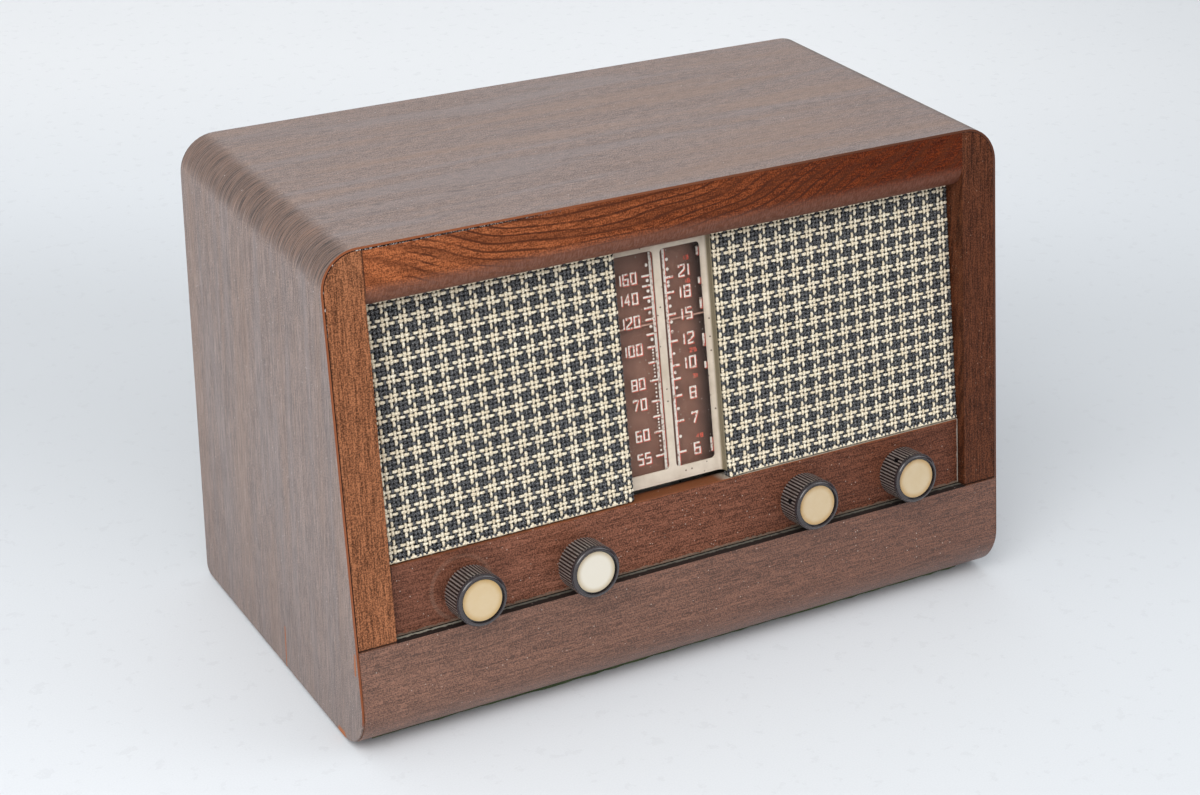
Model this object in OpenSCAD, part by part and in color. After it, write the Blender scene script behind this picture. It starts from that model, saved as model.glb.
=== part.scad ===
// Table radio receiver with a bent plywood cabinet, a leaning front, two woven
// grille cloths beside an upright dial, and four ribbed control knobs.
// Millimetres. The origin is the middle of the felt pad's underside.
// The front faces -Y, the right side as seen from the front is +X, and Z is up.

/* [Cabinet] */
// Width over the two sides
cab_w = 406; // [398:1:414]
// Height of the sides above their lower edge
cab_h = 267.6; // [264:0.2:272]
// Depth along the lower edge
cab_d = 224; // [220:1:234]
// Lean of the front, in degrees
front_lean = 8.1; // [7.9:0.1:8.3]
// Outside radius of the bent top corners
corner_r = 20.3; // [17:0.1:23]
// Thickness of the bent ply with its outer veneer
ply_t = 8; // [7:0.5:9]
// Thickness of the outer veneer that covers the ends of the front frame
veneer_t = 1.2; // [0.8:0.1:1.6]
// Radius of the rolled lower front edge
roll_r = 25.4; // [24:0.2:27]
// Radius of the lower rear corner of the sides
rear_r = 6; // [4:0.5:7]
// Thickness of the felt pad under the base
felt_t = 2; // [1.5:0.1:3]

/* [Front frame] */
// Depth of the stiles and the top rail
face_t = 18; // [17:0.5:18.5]
// Width of a stile, the veneer's edge included
stile_w = 22.8; // [21:0.2:25]
// Height of the top rail along the slope
rail_h = 32.5; // [30:0.5:34]
// Radius of the rail's rounded lower edge
nose_r = 12.7; // [10:0.1:14]
// Top of the plinth along the slope
plinth_top = 61.4; // [60:0.2:63]
// How far the plinth stands proud of the stiles
plinth_proud = 1; // [0:0.1:1.5]
// Open joint between the plinth and what stands on it
seam = 0.7; // [0.5:0.1:1]
// How far the control board lies behind the stiles
board_back = 5.6; // [5:0.1:6]
// Thickness of the control board
board_t = 10; // [9:0.5:10.5]
// Height of the control board
board_h = 38.9; // [38:0.1:40]

/* [Grilles and dial] */
// Lean of the grille cloths and the dial, in degrees
dial_lean = 11.5; // [11.3:0.1:11.7]
// Thickness of a grille cloth
cloth_t = 1; // [0.8:0.1:1.2]
// Thickness of the boards behind the cloths
grille_t = 4; // [3.5:0.1:4.4]
// Inner edge of the left cloth
left_edge = -34; // [-35:0.1:-33.8]
// Inner edge of the right cloth
right_edge = 25.5; // [25.5:0.1:26.5]
// Width of each dial window
window_w = 24.7; // [24:0.1:25]
// Width of the bar between the dial windows
window_bar = 4.2; // [3.8:0.1:4.8]
// Corner radius of the dial windows
window_r = 2.3; // [1.5:0.1:3]
// Pointer's lower stop above the foot of the dial windows
stop_low = 7.9; // [7:0.1:9.5]
// Pointer's upper stop below the head of the dial windows
stop_high = 10.7; // [10:0.1:13]
// Share of the travel at which the pointer stands
dial_at = 0.71; // [0.05:0.01:0.95]

/* [Knobs] */
// Diameter over the ribs
knob_d = 28.6; // [27:0.1:29]
// Length of a knob
knob_l = 16; // [14.5:0.1:16]
// Ribs round a knob
knob_ribs = 48; // [36:2:54]
// Diameter of the inlaid disc
disc_d = 22.4; // [21:0.1:22.8]
// Diameter of the control shafts
shaft_d = 6.35; // [6:0.05:6.4]
// Distance between the two shafts of the left and of the right pair
pair_pitch = [64.7, 67];
// Distance between the two inner shafts
inner_pitch = 144.2; // [143.2:0.2:145.2]
// How far the shafts lie below the middle of the control board
shaft_drop = 2.9; // [2.4:0.1:3]
// How far the pulled-out volume and tone knobs stand before the stiles
left_out = [15.4, 18.4];
// How far the band and tuning knobs stand before the stiles
right_out = 10.8; // [10.8:0.1:11.6]

/* [Chassis] */
// Reach of the chassis beyond the two outer shafts
chassis_over = 15.7; // [15:0.1:18]
// Height of the chassis
chassis_h = 66; // [64:0.5:66]
// Thickness of the chassis steel
steel_t = 1.2; // [1:0.1:1.4]
// Height of the wooden runners under the chassis
runner_h = 22; // [21:0.5:22]
// Room left between the loudspeaker's rim and the ends of its board
speaker_room = 6.9; // [6.5:0.1:9]

/* [Hidden] */
$fn = 64;

// Clearances
glue_gap = 0.1;        // between glued curved faces
slip_gap = 0.3;        // between pieces that are only laid together
run_gap = 0.05;        // round a turning shaft
cord_gap = 0.1;        // between the drive cord and what it runs over

// Front frame
stile_in = cab_w / 2 - stile_w;                       // inner faces of the stiles
top_u = cab_h / cos(front_lean);                      // top of the front along the slope
rail_low = top_u - rail_h;                            // lower edge of the rail
board_low = plinth_top + seam;
board_high = board_low + board_h;
plinth_d = 32;                                        // depth of the plinth at the floor
plinth_foot = 14;                                     // height of that deeper foot
base_t = 10;                                          // bottom board
back_in = 7;                                          // back cover behind the rear edge
back_t = 3;

// Grilles and dial: the cloth's face is the zero plane of the dial frame
dial_step = 0.4;
pane_y = 5.4;                                         // face of the escutcheon
pane_t = 0.8;
glass_y = pane_y + pane_t;
glass_t = 2;
plate_y = 12;                                         // face of the dial's back plate
cord_y = 14;                                          // plane of the drive cord
wing_y = 18.4;                                        // wing that carries the pulleys
dial_mid = right_edge - 0.5 - 30.75;                  // middle of the bar between windows
win_foot = 10.63;                                     // foot of the windows above the grilles' foot
win_head = 4.55;                                      // head of the windows below the grilles' head
edge_r = 1.6;                                         // cloth round the board's inner edge
cloth_gap = 0.05;

// Dial drive
cord_r = 0.35;
sleeve_r = cord_r + 0.04;
sleeve_l = 0.3;
sleeve_trim = 0.1;
drum_x = 104;
gang_y = [20, 72];
deck_gap = 1.32;                                      // under the gang's rear end
idler_r = 6;
idler_x = 46;
neck_r = 2.6;
turn_r = neck_r + cord_r + 0.15;                      // radius of the cord round the spindle
cord_step = 1.8;                                      // from the pulleys' plane to the drum's
rail_x = 33;
drum_turn = 180 * dial_at;                            // turned so far from the low stop

// Controls
knob_r = knob_d / 2;
shaft_r = shaft_d / 2;
knob_u = board_low + board_h / 2 - shaft_drop;        // all four shafts
row_x = -0.4;                                         // middle of the row of controls
vol_x = row_x - inner_pitch / 2 - pair_pitch[0];
tone_x = row_x - inner_pitch / 2;
band_x = row_x + inner_pitch / 2;
tune_x = row_x + inner_pitch / 2 + pair_pitch[1];
apron_y = 24;                                         // chassis apron behind the stiles
bush_r = 4.75;

// Chassis, counted from the lower front edge
ch_low = base_t + runner_h;
ch_top = ch_low + chassis_h;
ch_back = 196;
ch_x0 = vol_x - chassis_over;
ch_x1 = tune_x + chassis_over;

// Valves: place, base radius, bulb radius, bulb height
valves = [
  [-52, 152, 16.5, 15.5, 62],
  [-52, 104, 16.5, 15.5, 66],
  [58, 152, 16.5, 14.5, 56],
  [58, 112, 16.5, 14.5, 56],
  [98, 152, 16.5, 14.5, 56]
];
// Coil cans: place, half side, height
cans = [[24, 112, 17, 84], [24, 156, 17, 84], [132, 158, 15, 62]];
can_at = [-14, 152];

// Points: front frame to floor frame, and floor frame to dial frame
function f2w(y, u) = [y * cos(front_lean) + u * sin(front_lean),
                      u * cos(front_lean) - y * sin(front_lean)];
function w2g(p) = [(p[0] - dial_step) * cos(dial_lean) - p[1] * sin(dial_lean),
                   (p[0] - dial_step) * sin(dial_lean) + p[1] * cos(dial_lean)];
function g2w(y, v) = [y * cos(dial_lean) + v * sin(dial_lean) + dial_step,
                      v * cos(dial_lean) - y * sin(dial_lean)];
function f2g(y, u) = w2g(f2w(y, u));
grille_low = f2g(board_back + board_t, board_high)[1] + slip_gap;
grille_high = f2g(nose_r, rail_low)[1] - slip_gap;
grille_span = grille_high - grille_low;
grille_mid = (grille_low + grille_high) / 2;

// Dial windows, pointer travel and drive, all set from the grilles' foot and head
win_low = grille_low + win_foot;
win_high = grille_high - win_head;
dial_low = win_low + stop_low;
dial_travel = win_high - stop_high - dial_low;
point_v = dial_low + dial_travel * dial_at;
drum_r = dial_travel / PI;                            // half a turn drives the full travel
gang_low = (ch_top + deck_gap + gang_y[1] * sin(dial_lean)) / cos(dial_lean);
drum_v = gang_low + 25;
idler_v = [grille_low + 7.53, grille_high + 0.25];
lamp_v = grille_high + 6.25;
lamp_front = f2g(face_t, rail_low)[0] + 1.02;         // just behind the rail

// Loudspeaker: as large as the board and the space between cleat and dial allow
cleat_w = 10;
cleat_room = 2.2;
dial_room = 12;
spk_r = min(grille_span / 2 - speaker_room,
            (stile_in - cleat_w - cleat_room + left_edge - dial_room) / 2);
spk_x = left_edge - dial_room - spk_r;
spk_v = grille_mid;

// Frames
module from_floor() translate([0, -cab_d / 2, felt_t]) children();
module from_front() from_floor() rotate([-front_lean, 0, 0]) children();
module from_dial() from_floor() translate([0, dial_step, 0]) rotate([-dial_lean, 0, 0]) children();

// Shapes
module plate(y0, y1) translate([0, y1, 0]) rotate([90, 0, 0]) linear_extrude(y1 - y0) children();
module bar(x0, x1) translate([x0, 0, 0]) rotate([90, 0, 90]) linear_extrude(x1 - x0) children();
module rod(x, z, y0, y1, r) translate([x, y0, z]) rotate([-90, 0, 0]) cylinder(r = r, h = y1 - y0);
module box(x0, x1, y0, y1, z0, z1) translate([x0, y0, z0]) cube([x1 - x0, y1 - y0, z1 - z0]);
module round_rect(x0, x1, y0, y1, r) {
  translate([x0 + r, y0]) square([x1 - x0 - 2 * r, y1 - y0]);
  translate([x0, y0 + r]) square([x1 - x0, y1 - y0 - 2 * r]);
  for (x = [x0 + r, x1 - r], y = [y0 + r, y1 - r]) translate([x, y]) circle(r);
}
module hex(r) polygon([for (i = [0:5]) [r * cos(60 * i), r * sin(60 * i)]]);
// A straight piece of cord between two points; a short sleeve joins each piece to the one before
module run(a, b) {
  d = b - a;
  l = norm(d);
  translate(a) rotate([0, acos(d[2] / l), atan2(d[1], d[0])]) {
    translate([0, 0, -sleeve_l]) cylinder(r = sleeve_r, h = 2 * sleeve_l);
    translate([0, 0, sleeve_trim]) cylinder(r = cord_r, h = l - 2 * sleeve_trim);
  }
}
// An arc of cord round a circle of radius r, trimmed inside the sleeves
module bend(r, turn) {
  trim = sleeve_trim * 180 / PI / r;
  translate([r, -sleeve_l, 0]) rotate([-90, 0, 0]) cylinder(r = sleeve_r, h = 2 * sleeve_l);
  rotate([0, 0, trim]) rotate_extrude(angle = turn - 2 * trim) translate([r, 0]) circle(cord_r);
}
// An arc of cord in a plane of constant y, seen from the front
module arc(c, y, r, a0, turn)
  translate([c[0], y, c[1]]) rotate([90, 0, 0]) rotate([0, 0, a0]) bend(r, turn);
// Half a turn of cord that also advances along y
module half_turn(c, y, r, a0, advance)
  translate([c[0], y + advance / 2, c[1]]) rotate([90, 0, 0]) rotate([0, 0, a0])
    rotate([0, -atan2(advance / 2, r), 0]) bend(norm([r, advance / 2]), 180);

// Outline of the cabinet seen from the front, with bent top corners
module arch(w, h, r) {
  translate([-w / 2, 0]) square([w, h - r]);
  translate([-w / 2 + r, h - r]) square([w - 2 * r, r]);
  for (s = [-1, 1]) translate([s * (w / 2 - r), h - r]) circle(r);
}
// Outline of the cabinet seen from the side: leaning front and rolled lower edge
module side_section(proud) {
  c = (sin(front_lean) * roll_r + roll_r - proud) / cos(front_lean);
  top = cab_h + 10;
  polygon([
    [c, 0], [cab_d - rear_r, 0], [cab_d, rear_r], [cab_d, top],
    [(sin(front_lean) * top - proud) / cos(front_lean), top],
    [c - roll_r * cos(front_lean), roll_r + roll_r * sin(front_lean)], [c, roll_r]
  ]);
  translate([c, roll_r]) circle(roll_r);
  translate([cab_d - rear_r, rear_r]) circle(rear_r);
}
// Space inside the veneer, shrunk by a gap
module inside_veneer(gap) from_floor() plate(-40, cab_d + 10)
  arch(cab_w - 2 * veneer_t - 2 * gap, cab_h - veneer_t - gap, corner_r - veneer_t - gap);
// Section of the plinth's own space, front slab and deeper foot
module plinth_space() {
  polygon([f2w(-10, -30), f2w(face_t - 0.05, -30), f2w(face_t - 0.05, plinth_top), f2w(-10, plinth_top)]);
  translate([-10, -10]) square([plinth_d + 10, plinth_foot + 10]);
}

module cabinet_wrap() color("#6b4a3c") difference() {
  intersection() {
    from_floor() plate(-40, cab_d + 10) difference() {
      arch(cab_w, cab_h, corner_r);
      translate([0, -1]) arch(cab_w - 2 * ply_t, cab_h - ply_t + 1, corner_r - ply_t);
    }
    from_floor() bar(-cab_w, cab_w) side_section(0);
  }
  intersection() {
    inside_veneer(0);
    union() {
      from_front() box(-cab_w, cab_w, -30, face_t, -30, cab_h + 40);
      from_floor() box(-cab_w, cab_w, -30, plinth_d, -10, plinth_foot);
    }
  }
}

module stile(side) intersection() {
  inside_veneer(glue_gap);
  from_front() box(side > 0 ? stile_in : -cab_w, side > 0 ? cab_w : -stile_in,
                   0, face_t, plinth_top + seam, cab_h + 40);
}
module left_stile() color("#7c4a34") stile(-1);
module right_stile() color("#6e4332") stile(1);

module top_rail() color("#8a4c30") intersection() {
  inside_veneer(glue_gap);
  from_front() bar(-stile_in, stile_in) {
    translate([0, rail_low + nose_r]) square([face_t, rail_h + 30]);
    translate([nose_r, rail_low]) square([face_t - nose_r, rail_h + 30]);
    intersection() {
      translate([nose_r, rail_low + nose_r]) circle(nose_r);
      translate([0, rail_low]) square([nose_r, nose_r]);
    }
  }
}

module control_board() color("#6a3c2c") from_front() difference() {
  box(-stile_in + 0.4, stile_in - 0.6, board_back, board_back + board_t, board_low, board_high);
  for (x = [vol_x, tone_x, band_x, tune_x]) rod(x, knob_u, 0, face_t, 6);
}

module plinth_rail() color("#65422f") from_floor()
  bar(-cab_w / 2 + veneer_t + glue_gap, cab_w / 2 - veneer_t - glue_gap)
    intersection() { side_section(plinth_proud); plinth_space(); }

module bottom_board() color("#a98a63") from_floor() difference() {
  box(-cab_w / 2 + ply_t, cab_w / 2 - ply_t, plinth_d, cab_d - rear_r, 0, base_t);
  for (x = runner_x, y = bolt_y) {
    translate([x, y, -1]) cylinder(r = 2.6, h = base_t + 2);
    translate([x, y, -1]) cylinder(r = 7, h = 5);
  }
  for (i = [-4:4]) translate([i * 26, 120, -1]) cylinder(r = 5, h = base_t + 2);
}

module felt_pad() color("#3f5a3a") from_floor() difference() {
  box(-cab_w / 2 + 13.2, cab_w / 2 - 13.2, 22, cab_d - 16, -felt_t, 0);
  for (x = runner_x, y = bolt_y) translate([x, y, -felt_t - 1]) cylinder(r = 8, h = felt_t + 2);
  for (i = [-4:4]) translate([i * 26, 120, -felt_t - 1]) cylinder(r = 6, h = felt_t + 2);
}

// Strips on the inner faces of the stiles that carry the grille boards and the control board
module side_cleats() color("#b0946c") for (s = [-1, 1]) {
  x0 = s > 0 ? stile_in - cleat_w : -stile_in;
  from_dial() box(x0, x0 + cleat_w, cloth_t + cloth_gap + grille_t, 17, grille_low + 2, grille_high - 6);
  from_front() box(x0, x0 + cleat_w, board_back + board_t, face_t + 4, board_low + 1, board_high - 4);
}

back_y = cab_d - back_in - back_t;
cover_w = cab_w - 2 * ply_t - 2;
cover_h = cab_h - ply_t - base_t - 1.6;
screw_x = cab_w / 2 - ply_t - 8;
screw_z = [28, 132, cab_h - corner_r - 20];
module corner_blocks() color("#a98a63") from_floor() for (s = [-1, 1]) {
  x1 = cab_w / 2 - ply_t;
  for (z = screw_z) difference() {
    box(s > 0 ? x1 - 15 : -x1, s > 0 ? x1 : -x1 + 15, back_y - 14, back_y, z - 16, z + 16);
    rod(s * screw_x, z, back_y - 12, back_y + 1, 1.5);
  }
  // blocks that stiffen the joint of side and bottom
  for (y = [60, 150]) box(s > 0 ? x1 - 14 : -x1, s > 0 ? x1 : -x1 + 14, y, y + 40, base_t, base_t + 14);
}

// Grille boards with rounded inner edges
module edge_section(w, d, r) {
  translate([-w, 0]) square([w - r, d]);
  translate([-w, r]) square([w, d - r]);
  translate([-r, r]) circle(r);
}
module board_section(w)
  translate([-cloth_t - cloth_gap, cloth_t + cloth_gap])
    edge_section(w - cloth_t - cloth_gap, grille_t, edge_r - cloth_t);
module cloth_section(w) difference() {
  edge_section(w, cloth_t + cloth_gap + grille_t, edge_r);
  translate([-cloth_t, cloth_t]) edge_section(w + 5, grille_t + 5, edge_r - cloth_t);
}
module left_grille_board() color("#8a6f4c") from_dial() difference() {
  translate([left_edge, 0, grille_low]) linear_extrude(grille_span)
    board_section(stile_in - slip_gap + left_edge);
  rod(spk_x, spk_v, -1, 12, spk_r - 10);
  for (a = [45:90:315]) rod(spk_x + (spk_r - 4) * cos(a), spk_v + (spk_r - 4) * sin(a), -1, 12, 1.7);
}
module right_grille_board() color("#8a6f4c") from_dial() difference() {
  translate([right_edge, 0, grille_low]) mirror([1, 0, 0]) linear_extrude(grille_span)
    board_section(stile_in - slip_gap - right_edge);
  for (z = [-2:2]) plate(-1, 12)
    round_rect(right_edge + 60.5, stile_in - 28.2, grille_mid + z * 20 - 5, grille_mid + z * 20 + 5, 4.9);
}
module left_grille_cloth() color("#8d8873") from_dial()
  translate([left_edge, 0, grille_low]) linear_extrude(grille_span)
    cloth_section(stile_in - slip_gap + left_edge);
module right_grille_cloth() color("#8d8873") from_dial()
  translate([right_edge, 0, grille_low]) mirror([1, 0, 0]) linear_extrude(grille_span)
    cloth_section(stile_in - slip_gap - right_edge);

// Pressed dial frame with two windows and a right-hand flange that comes forward
esc_x1 = right_edge - 0.4;
esc_x0 = left_edge - 3;
esc_low = grille_low + 3.3;
esc_high = grille_high - 0.4;
flange_r = 3.4;
module window(x0, x1) plate(pane_y - 3, pane_y + 3) round_rect(x0, x1, win_low, win_high, window_r);
module dial_escutcheon() color("#a9a48c") from_dial() difference() {
  translate([0, 0, esc_low]) linear_extrude(esc_high - esc_low) {
    translate([esc_x0, pane_y]) square([esc_x1 - esc_x0 - flange_r, pane_t]);
    translate([esc_x1 - pane_t, 0.6]) square([pane_t, pane_y + pane_t - flange_r - 0.6]);
    // rounded bend between the face and the flange
    translate([esc_x1 - flange_r, glass_y - flange_r]) intersection() {
      difference() { circle(flange_r); circle(flange_r - pane_t); }
      square([flange_r, flange_r]);
    }
  }
  window(dial_mid - window_bar / 2 - window_w, dial_mid - window_bar / 2);
  window(dial_mid + window_bar / 2, dial_mid + window_bar / 2 + window_w);
}
module dial_glass() color([0.8, 0.85, 0.85, 0.35]) from_dial()
  box(esc_x0 + 0.5, esc_x1 - flange_r, glass_y, glass_y + glass_t, esc_low + 1, esc_high - 1);

// Hardboard back with rows of vent holes and an opening for the chassis terminals
module back_cover() color("#7d6146") from_floor() difference() {
  translate([0, 0, base_t + slip_gap]) plate(back_y, back_y + back_t)
    arch(cover_w, cover_h, corner_r - ply_t - 1);
  plate(back_y - 5, back_y + 10) round_rect(-70, 70, ch_low + 8, ch_top - 12, 4);
  for (s = [-1, 1], z = screw_z) rod(s * screw_x, z, back_y - 5, back_y + 10, 1.9);
  for (i = [-7:7], k = [0:4]) rod(i * 20 + (k % 2) * 10 - 5, 150 + k * 18, back_y - 5, back_y + 10, 4);
}
module back_screws() color("#8f8b82") from_floor() for (s = [-1, 1], z = screw_z) {
  rod(s * screw_x, z, back_y - 10, back_y + back_t, 1.45);
  difference() {
    translate([s * screw_x, back_y + back_t, z]) intersection() {
      translate([0, -3.2, 0]) sphere(5);
      box(-5, 5, 0, 5, -5, 5);
    }
    box(s * screw_x - 4, s * screw_x + 4, back_y + back_t + 1.1, back_y + back_t + 3, z - 0.4, z + 0.4);
  }
}

// Folded steel chassis with a leaning front apron
flange_w = 20;
runner_x = [ch_x0 + flange_w / 2, ch_x1 - flange_w / 2];
bolt_y = [72, 172];
function apron(y, z) = y / cos(front_lean) + z * tan(front_lean);
module chassis_section(t, low)
  polygon([[apron(apron_y + t, low), low], [ch_back - t, low],
           [ch_back - t, ch_top - t], [apron(apron_y + t, ch_top - t), ch_top - t]]);
socket_r = 14;
module chassis() color("#9a9c98") difference() {
  from_floor() union() {
    difference() {
      bar(ch_x0, ch_x1) chassis_section(0, ch_low);
      bar(ch_x0 + steel_t, ch_x1 - steel_t) chassis_section(steel_t, ch_low - 5);
    }
    for (x = [ch_x0 + steel_t, ch_x1 - flange_w])
      box(x, x + flange_w - steel_t, 60, ch_back - steel_t, ch_low, ch_low + steel_t);
  }
  from_front() for (x = [vol_x, tone_x, band_x, tune_x])
    rod(x, knob_u, apron_y - 5, apron_y + 10, bush_r + 0.1);
  from_floor() {
    for (x = runner_x, y = bolt_y) translate([x, y, ch_low - 1]) cylinder(r = 2.6, h = 5);
    for (v = valves) translate([v[0], v[1], ch_top - 5]) cylinder(r = socket_r, h = 10);
    for (c = cans) box(c[0] - 8, c[0] + 8, c[1] - 8, c[1] + 8, ch_top - 5, ch_top + 5);
    box(-132, -78, 126, 174, ch_top - 5, ch_top + 5);
    translate([can_at[0], can_at[1], ch_top - 5]) cylinder(r = 7, h = 10);
    // mains lead hole and the opening behind the aerial terminals
    rod(-46, ch_low + 26, ch_back - 5, ch_back + 5, 5);
    plate(ch_back - 5, ch_back + 5) round_rect(20, 60, ch_low + 20, ch_low + 34, 3);
  }
}
module chassis_runners() color("#a98a63") from_floor() for (x = runner_x) difference() {
  box(x - 9, x + 9, 62, 182, base_t, ch_low);
  for (y = bolt_y) translate([x, y, base_t - 1]) cylinder(r = 2.6, h = runner_h + 2);
}
module chassis_bolts() color("#b8b4a8") from_floor() for (x = runner_x, y = bolt_y) {
  translate([x, y, 1]) cylinder(r = 5, h = 3);
  translate([x, y, 1]) cylinder(r = 2.4, h = ch_low + 6);
  translate([x, y, ch_low + steel_t]) difference() {
    linear_extrude(3.6) hex(4.6);
    translate([0, 0, -1]) cylinder(r = 2.4, h = 6);
  }
}

// Painted back plate of the dial with the wing that holds the rail and the pulleys
bracket_top = lamp_v + 6;
bracket_x0 = esc_x0;
foot_y = g2w(plate_y, (ch_top + plate_y * sin(dial_lean)) / cos(dial_lean))[0];
wing_low = (ch_top + (wing_y + steel_t) * sin(dial_lean)) / cos(dial_lean) + 0.3;
tab_v = [wing_low + 8, idler_v[1] - 6];
module dial_bracket() color("#5b3527") difference() {
  union() {
    difference() {
      from_dial() translate([0, 0, 95]) linear_extrude(bracket_top - 95) polygon([
        [bracket_x0, plate_y], [28, plate_y], [28, wing_y], [60, wing_y], [60, wing_y + steel_t],
        [28 - steel_t, wing_y + steel_t], [28 - steel_t, plate_y + steel_t], [bracket_x0, plate_y + steel_t]
      ]);
      from_floor() box(-100, 100, -10, 80, 0, ch_top + steel_t / 2);
    }
    from_floor() box(bracket_x0 + 4, 20, foot_y + 0.6, foot_y + 18, ch_top, ch_top + steel_t);
    from_dial() for (v = tab_v) box(28.6, 38, 12.6, wing_y + 0.5, v - steel_t, v);
  }
  from_dial() {
    translate([rail_x, cord_y + 0.5, 90]) cylinder(r = 1.5 + run_gap, h = 170);
    for (v = idler_v) rod(idler_x, v, wing_y - 5, wing_y + 5, 1.5);
  }
  from_floor() for (x = [-30, 12]) translate([x, foot_y + 10, ch_top - 5]) cylinder(r = 2, h = 10);
}
// Guide rail of the pointer and the two pulley pins
module dial_rods() color("#b9bcbf") from_dial() {
  translate([rail_x, cord_y + 0.5, tab_v[0] - 4]) cylinder(r = 1.5, h = tab_v[1] - tab_v[0] + 8);
  for (v = idler_v) {
    rod(idler_x, v, cord_y - 2.4, wing_y + steel_t + 1, 1.5);
    rod(idler_x, v, cord_y - 3, cord_y - 1.9, 2.8);
    difference() {
      rod(idler_x, v, cord_y + 1.9, wing_y, 2.5);
      rod(idler_x, v, cord_y, wing_y + 1, 1.4);
    }
  }
}

// Tangent direction of an open belt from one pulley to the next, all turning the same way
function heading(a, b) = atan2(b[1] - a[1], b[0] - a[0])
  - asin((b[2] - a[2]) / norm([b[0] - a[0], b[1] - a[1]]));
function leave(c, h) = [c[0] + c[2] * sin(h), c[1] - c[2] * cos(h)];
spin_v = f2g(apron_y - 3.9, knob_u)[1];               // height of the neck along the dial
pul = [[drum_x, drum_v, drum_r], [idler_x, idler_v[1], idler_r + cord_gap],
       [idler_x, idler_v[0], idler_r + cord_gap], [tune_x, spin_v, turn_r]];
dir = [for (i = [0:3]) heading(pul[i], pul[(i + 1) % 4])];
function turn_by(a, b) = (b - a + 720) % 360;
// Cord from the drum over both pulleys, twice round the spindle, and once round the drum
module dial_cord() color("#c9bd97") from_dial() {
  for (i = [0:3]) {
    a = leave(pul[i], dir[i]);
    b = leave(pul[(i + 1) % 4], dir[i]);
    y = i == 3 ? cord_y + cord_step : cord_y;
    run([a[0], y, a[1]], [b[0], y, b[1]]);
  }
  for (i = [1, 2]) arc(pul[i], cord_y, pul[i][2], dir[i - 1] - 90, turn_by(dir[i - 1], dir[i]));
  for (k = [0:3])
    half_turn(pul[3], cord_y + k * cord_step / 4, turn_r, dir[2] - 90 + 180 * k, cord_step / 4);
  arc(pul[3], cord_y + cord_step, turn_r, dir[2] - 90, turn_by(dir[2], dir[3]));
  for (k = [0, 1])
    half_turn(pul[0], cord_y + cord_step * (1 - k / 2), drum_r, dir[3] - 90 + 180 * k, -cord_step / 2);
  arc(pul[0], cord_y, drum_r, dir[3] - 90, turn_by(dir[3], dir[0]));
}

// Dial lamps: holder and glass bulb
module dial_lamps() color("#c8b98a") from_dial() for (x = [-22, 10]) {
  rod(x, lamp_v, plate_y - 4, plate_y, 4.6);
  rod(x, lamp_v, lamp_front, plate_y - 4, 3.6);
}

// Two-section tuning capacitor on a sloping stand, its shaft square to the dial
gang_w = 22;
gang_cells = [25, 50];
plate_gap = 3;
leaf_t = 0.7;
stator_x = -20.5;
stator_v = 14;
module gang_frame() color("#a7a9a6") difference() {
  union() {
    from_dial() {
      box(drum_x - gang_w, drum_x + gang_w, gang_y[0], gang_y[1], gang_low, gang_low + 1.6);
      for (y = [gang_y[0], 45.2, gang_y[1] - 1.6])
        box(drum_x - gang_w, drum_x + gang_w, y, y + 1.6, gang_low, drum_v + 21);
      for (s = [-1, 1]) rod(drum_x + s * (gang_w - 2), drum_v + 19, gang_y[0], gang_y[1], 1.6);
    }
    intersection() {
      from_floor() for (y = [g2w(22, gang_low)[0], g2w(66, gang_low)[0]])
        box(drum_x - 18, drum_x + 18, y, y + 6, ch_top, ch_top + 40);
      from_dial() box(0, 200, -50, 150, 0, gang_low + 0.5);
    }
  }
  from_dial() {
    rod(drum_x, drum_v, 0, 100, shaft_r + run_gap);
    for (s = [-1, 1]) rod(drum_x + stator_x, drum_v + s * stator_v, 23, 69, 2.4);
  }
}
module gang_stators() color("#c3c5c4") from_dial() difference() {
  union() {
    for (c = gang_cells, i = [0:4])
      box(drum_x - 21.2, drum_x - 3, c + 1.5 + i * plate_gap, c + 1.5 + i * plate_gap + leaf_t,
          drum_v - 16, drum_v + 16);
    for (s = [-1, 1]) rod(drum_x + stator_x, drum_v + s * stator_v, gang_y[0] + 1.6, gang_y[1] - 1.6, 1.3);
  }
  rod(drum_x, drum_v, 0, 100, shaft_r + 2);
}
// Half-round leaves; they point left when closed and open upwards
module gang_rotor() color("#c3c5c4") from_dial() translate([drum_x, 0, drum_v]) rotate([0, drum_turn, 0]) {
  rod(0, 0, 9.5, gang_y[1] + 3, shaft_r);
  for (c = gang_cells, i = [0:5]) difference() {
    rod(0, 0, c + i * plate_gap, c + i * plate_gap + leaf_t, 19);
    box(1.5, 25, 0, 100, -25, 25);
  }
}
drum_hub = 7;
drum_web = 5.5;
drum_rim = 6.97;
drum_hole = (drum_r - drum_hub - drum_web - drum_rim) / 2;
hole_ring = drum_hub + drum_web + drum_hole;
module tuning_drum() color("#b5a77c") from_dial() translate([drum_x, 0, drum_v])
  rotate([0, drum_turn, 0]) difference() {
    union() {
      rod(0, 0, cord_y - 1, cord_y + cord_step + 1, drum_r - cord_r - cord_gap);
      for (y = [cord_y - 1.4, cord_y + cord_step + 0.6]) rod(0, 0, y, y + 0.8, drum_r + 1.6);
      rod(0, 0, cord_y - 3.8, cord_y + 5.2, drum_hub);
    }
    rod(0, 0, 0, 30, shaft_r);
    for (a = [0:60:300]) rod(hole_ring * cos(a), hole_ring * sin(a), 0, 30, drum_hole);
    // grub screw hole in the hub
    translate([0, cord_y - 2.4, 0]) cylinder(r = 1.2, h = 8);
  }
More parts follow.
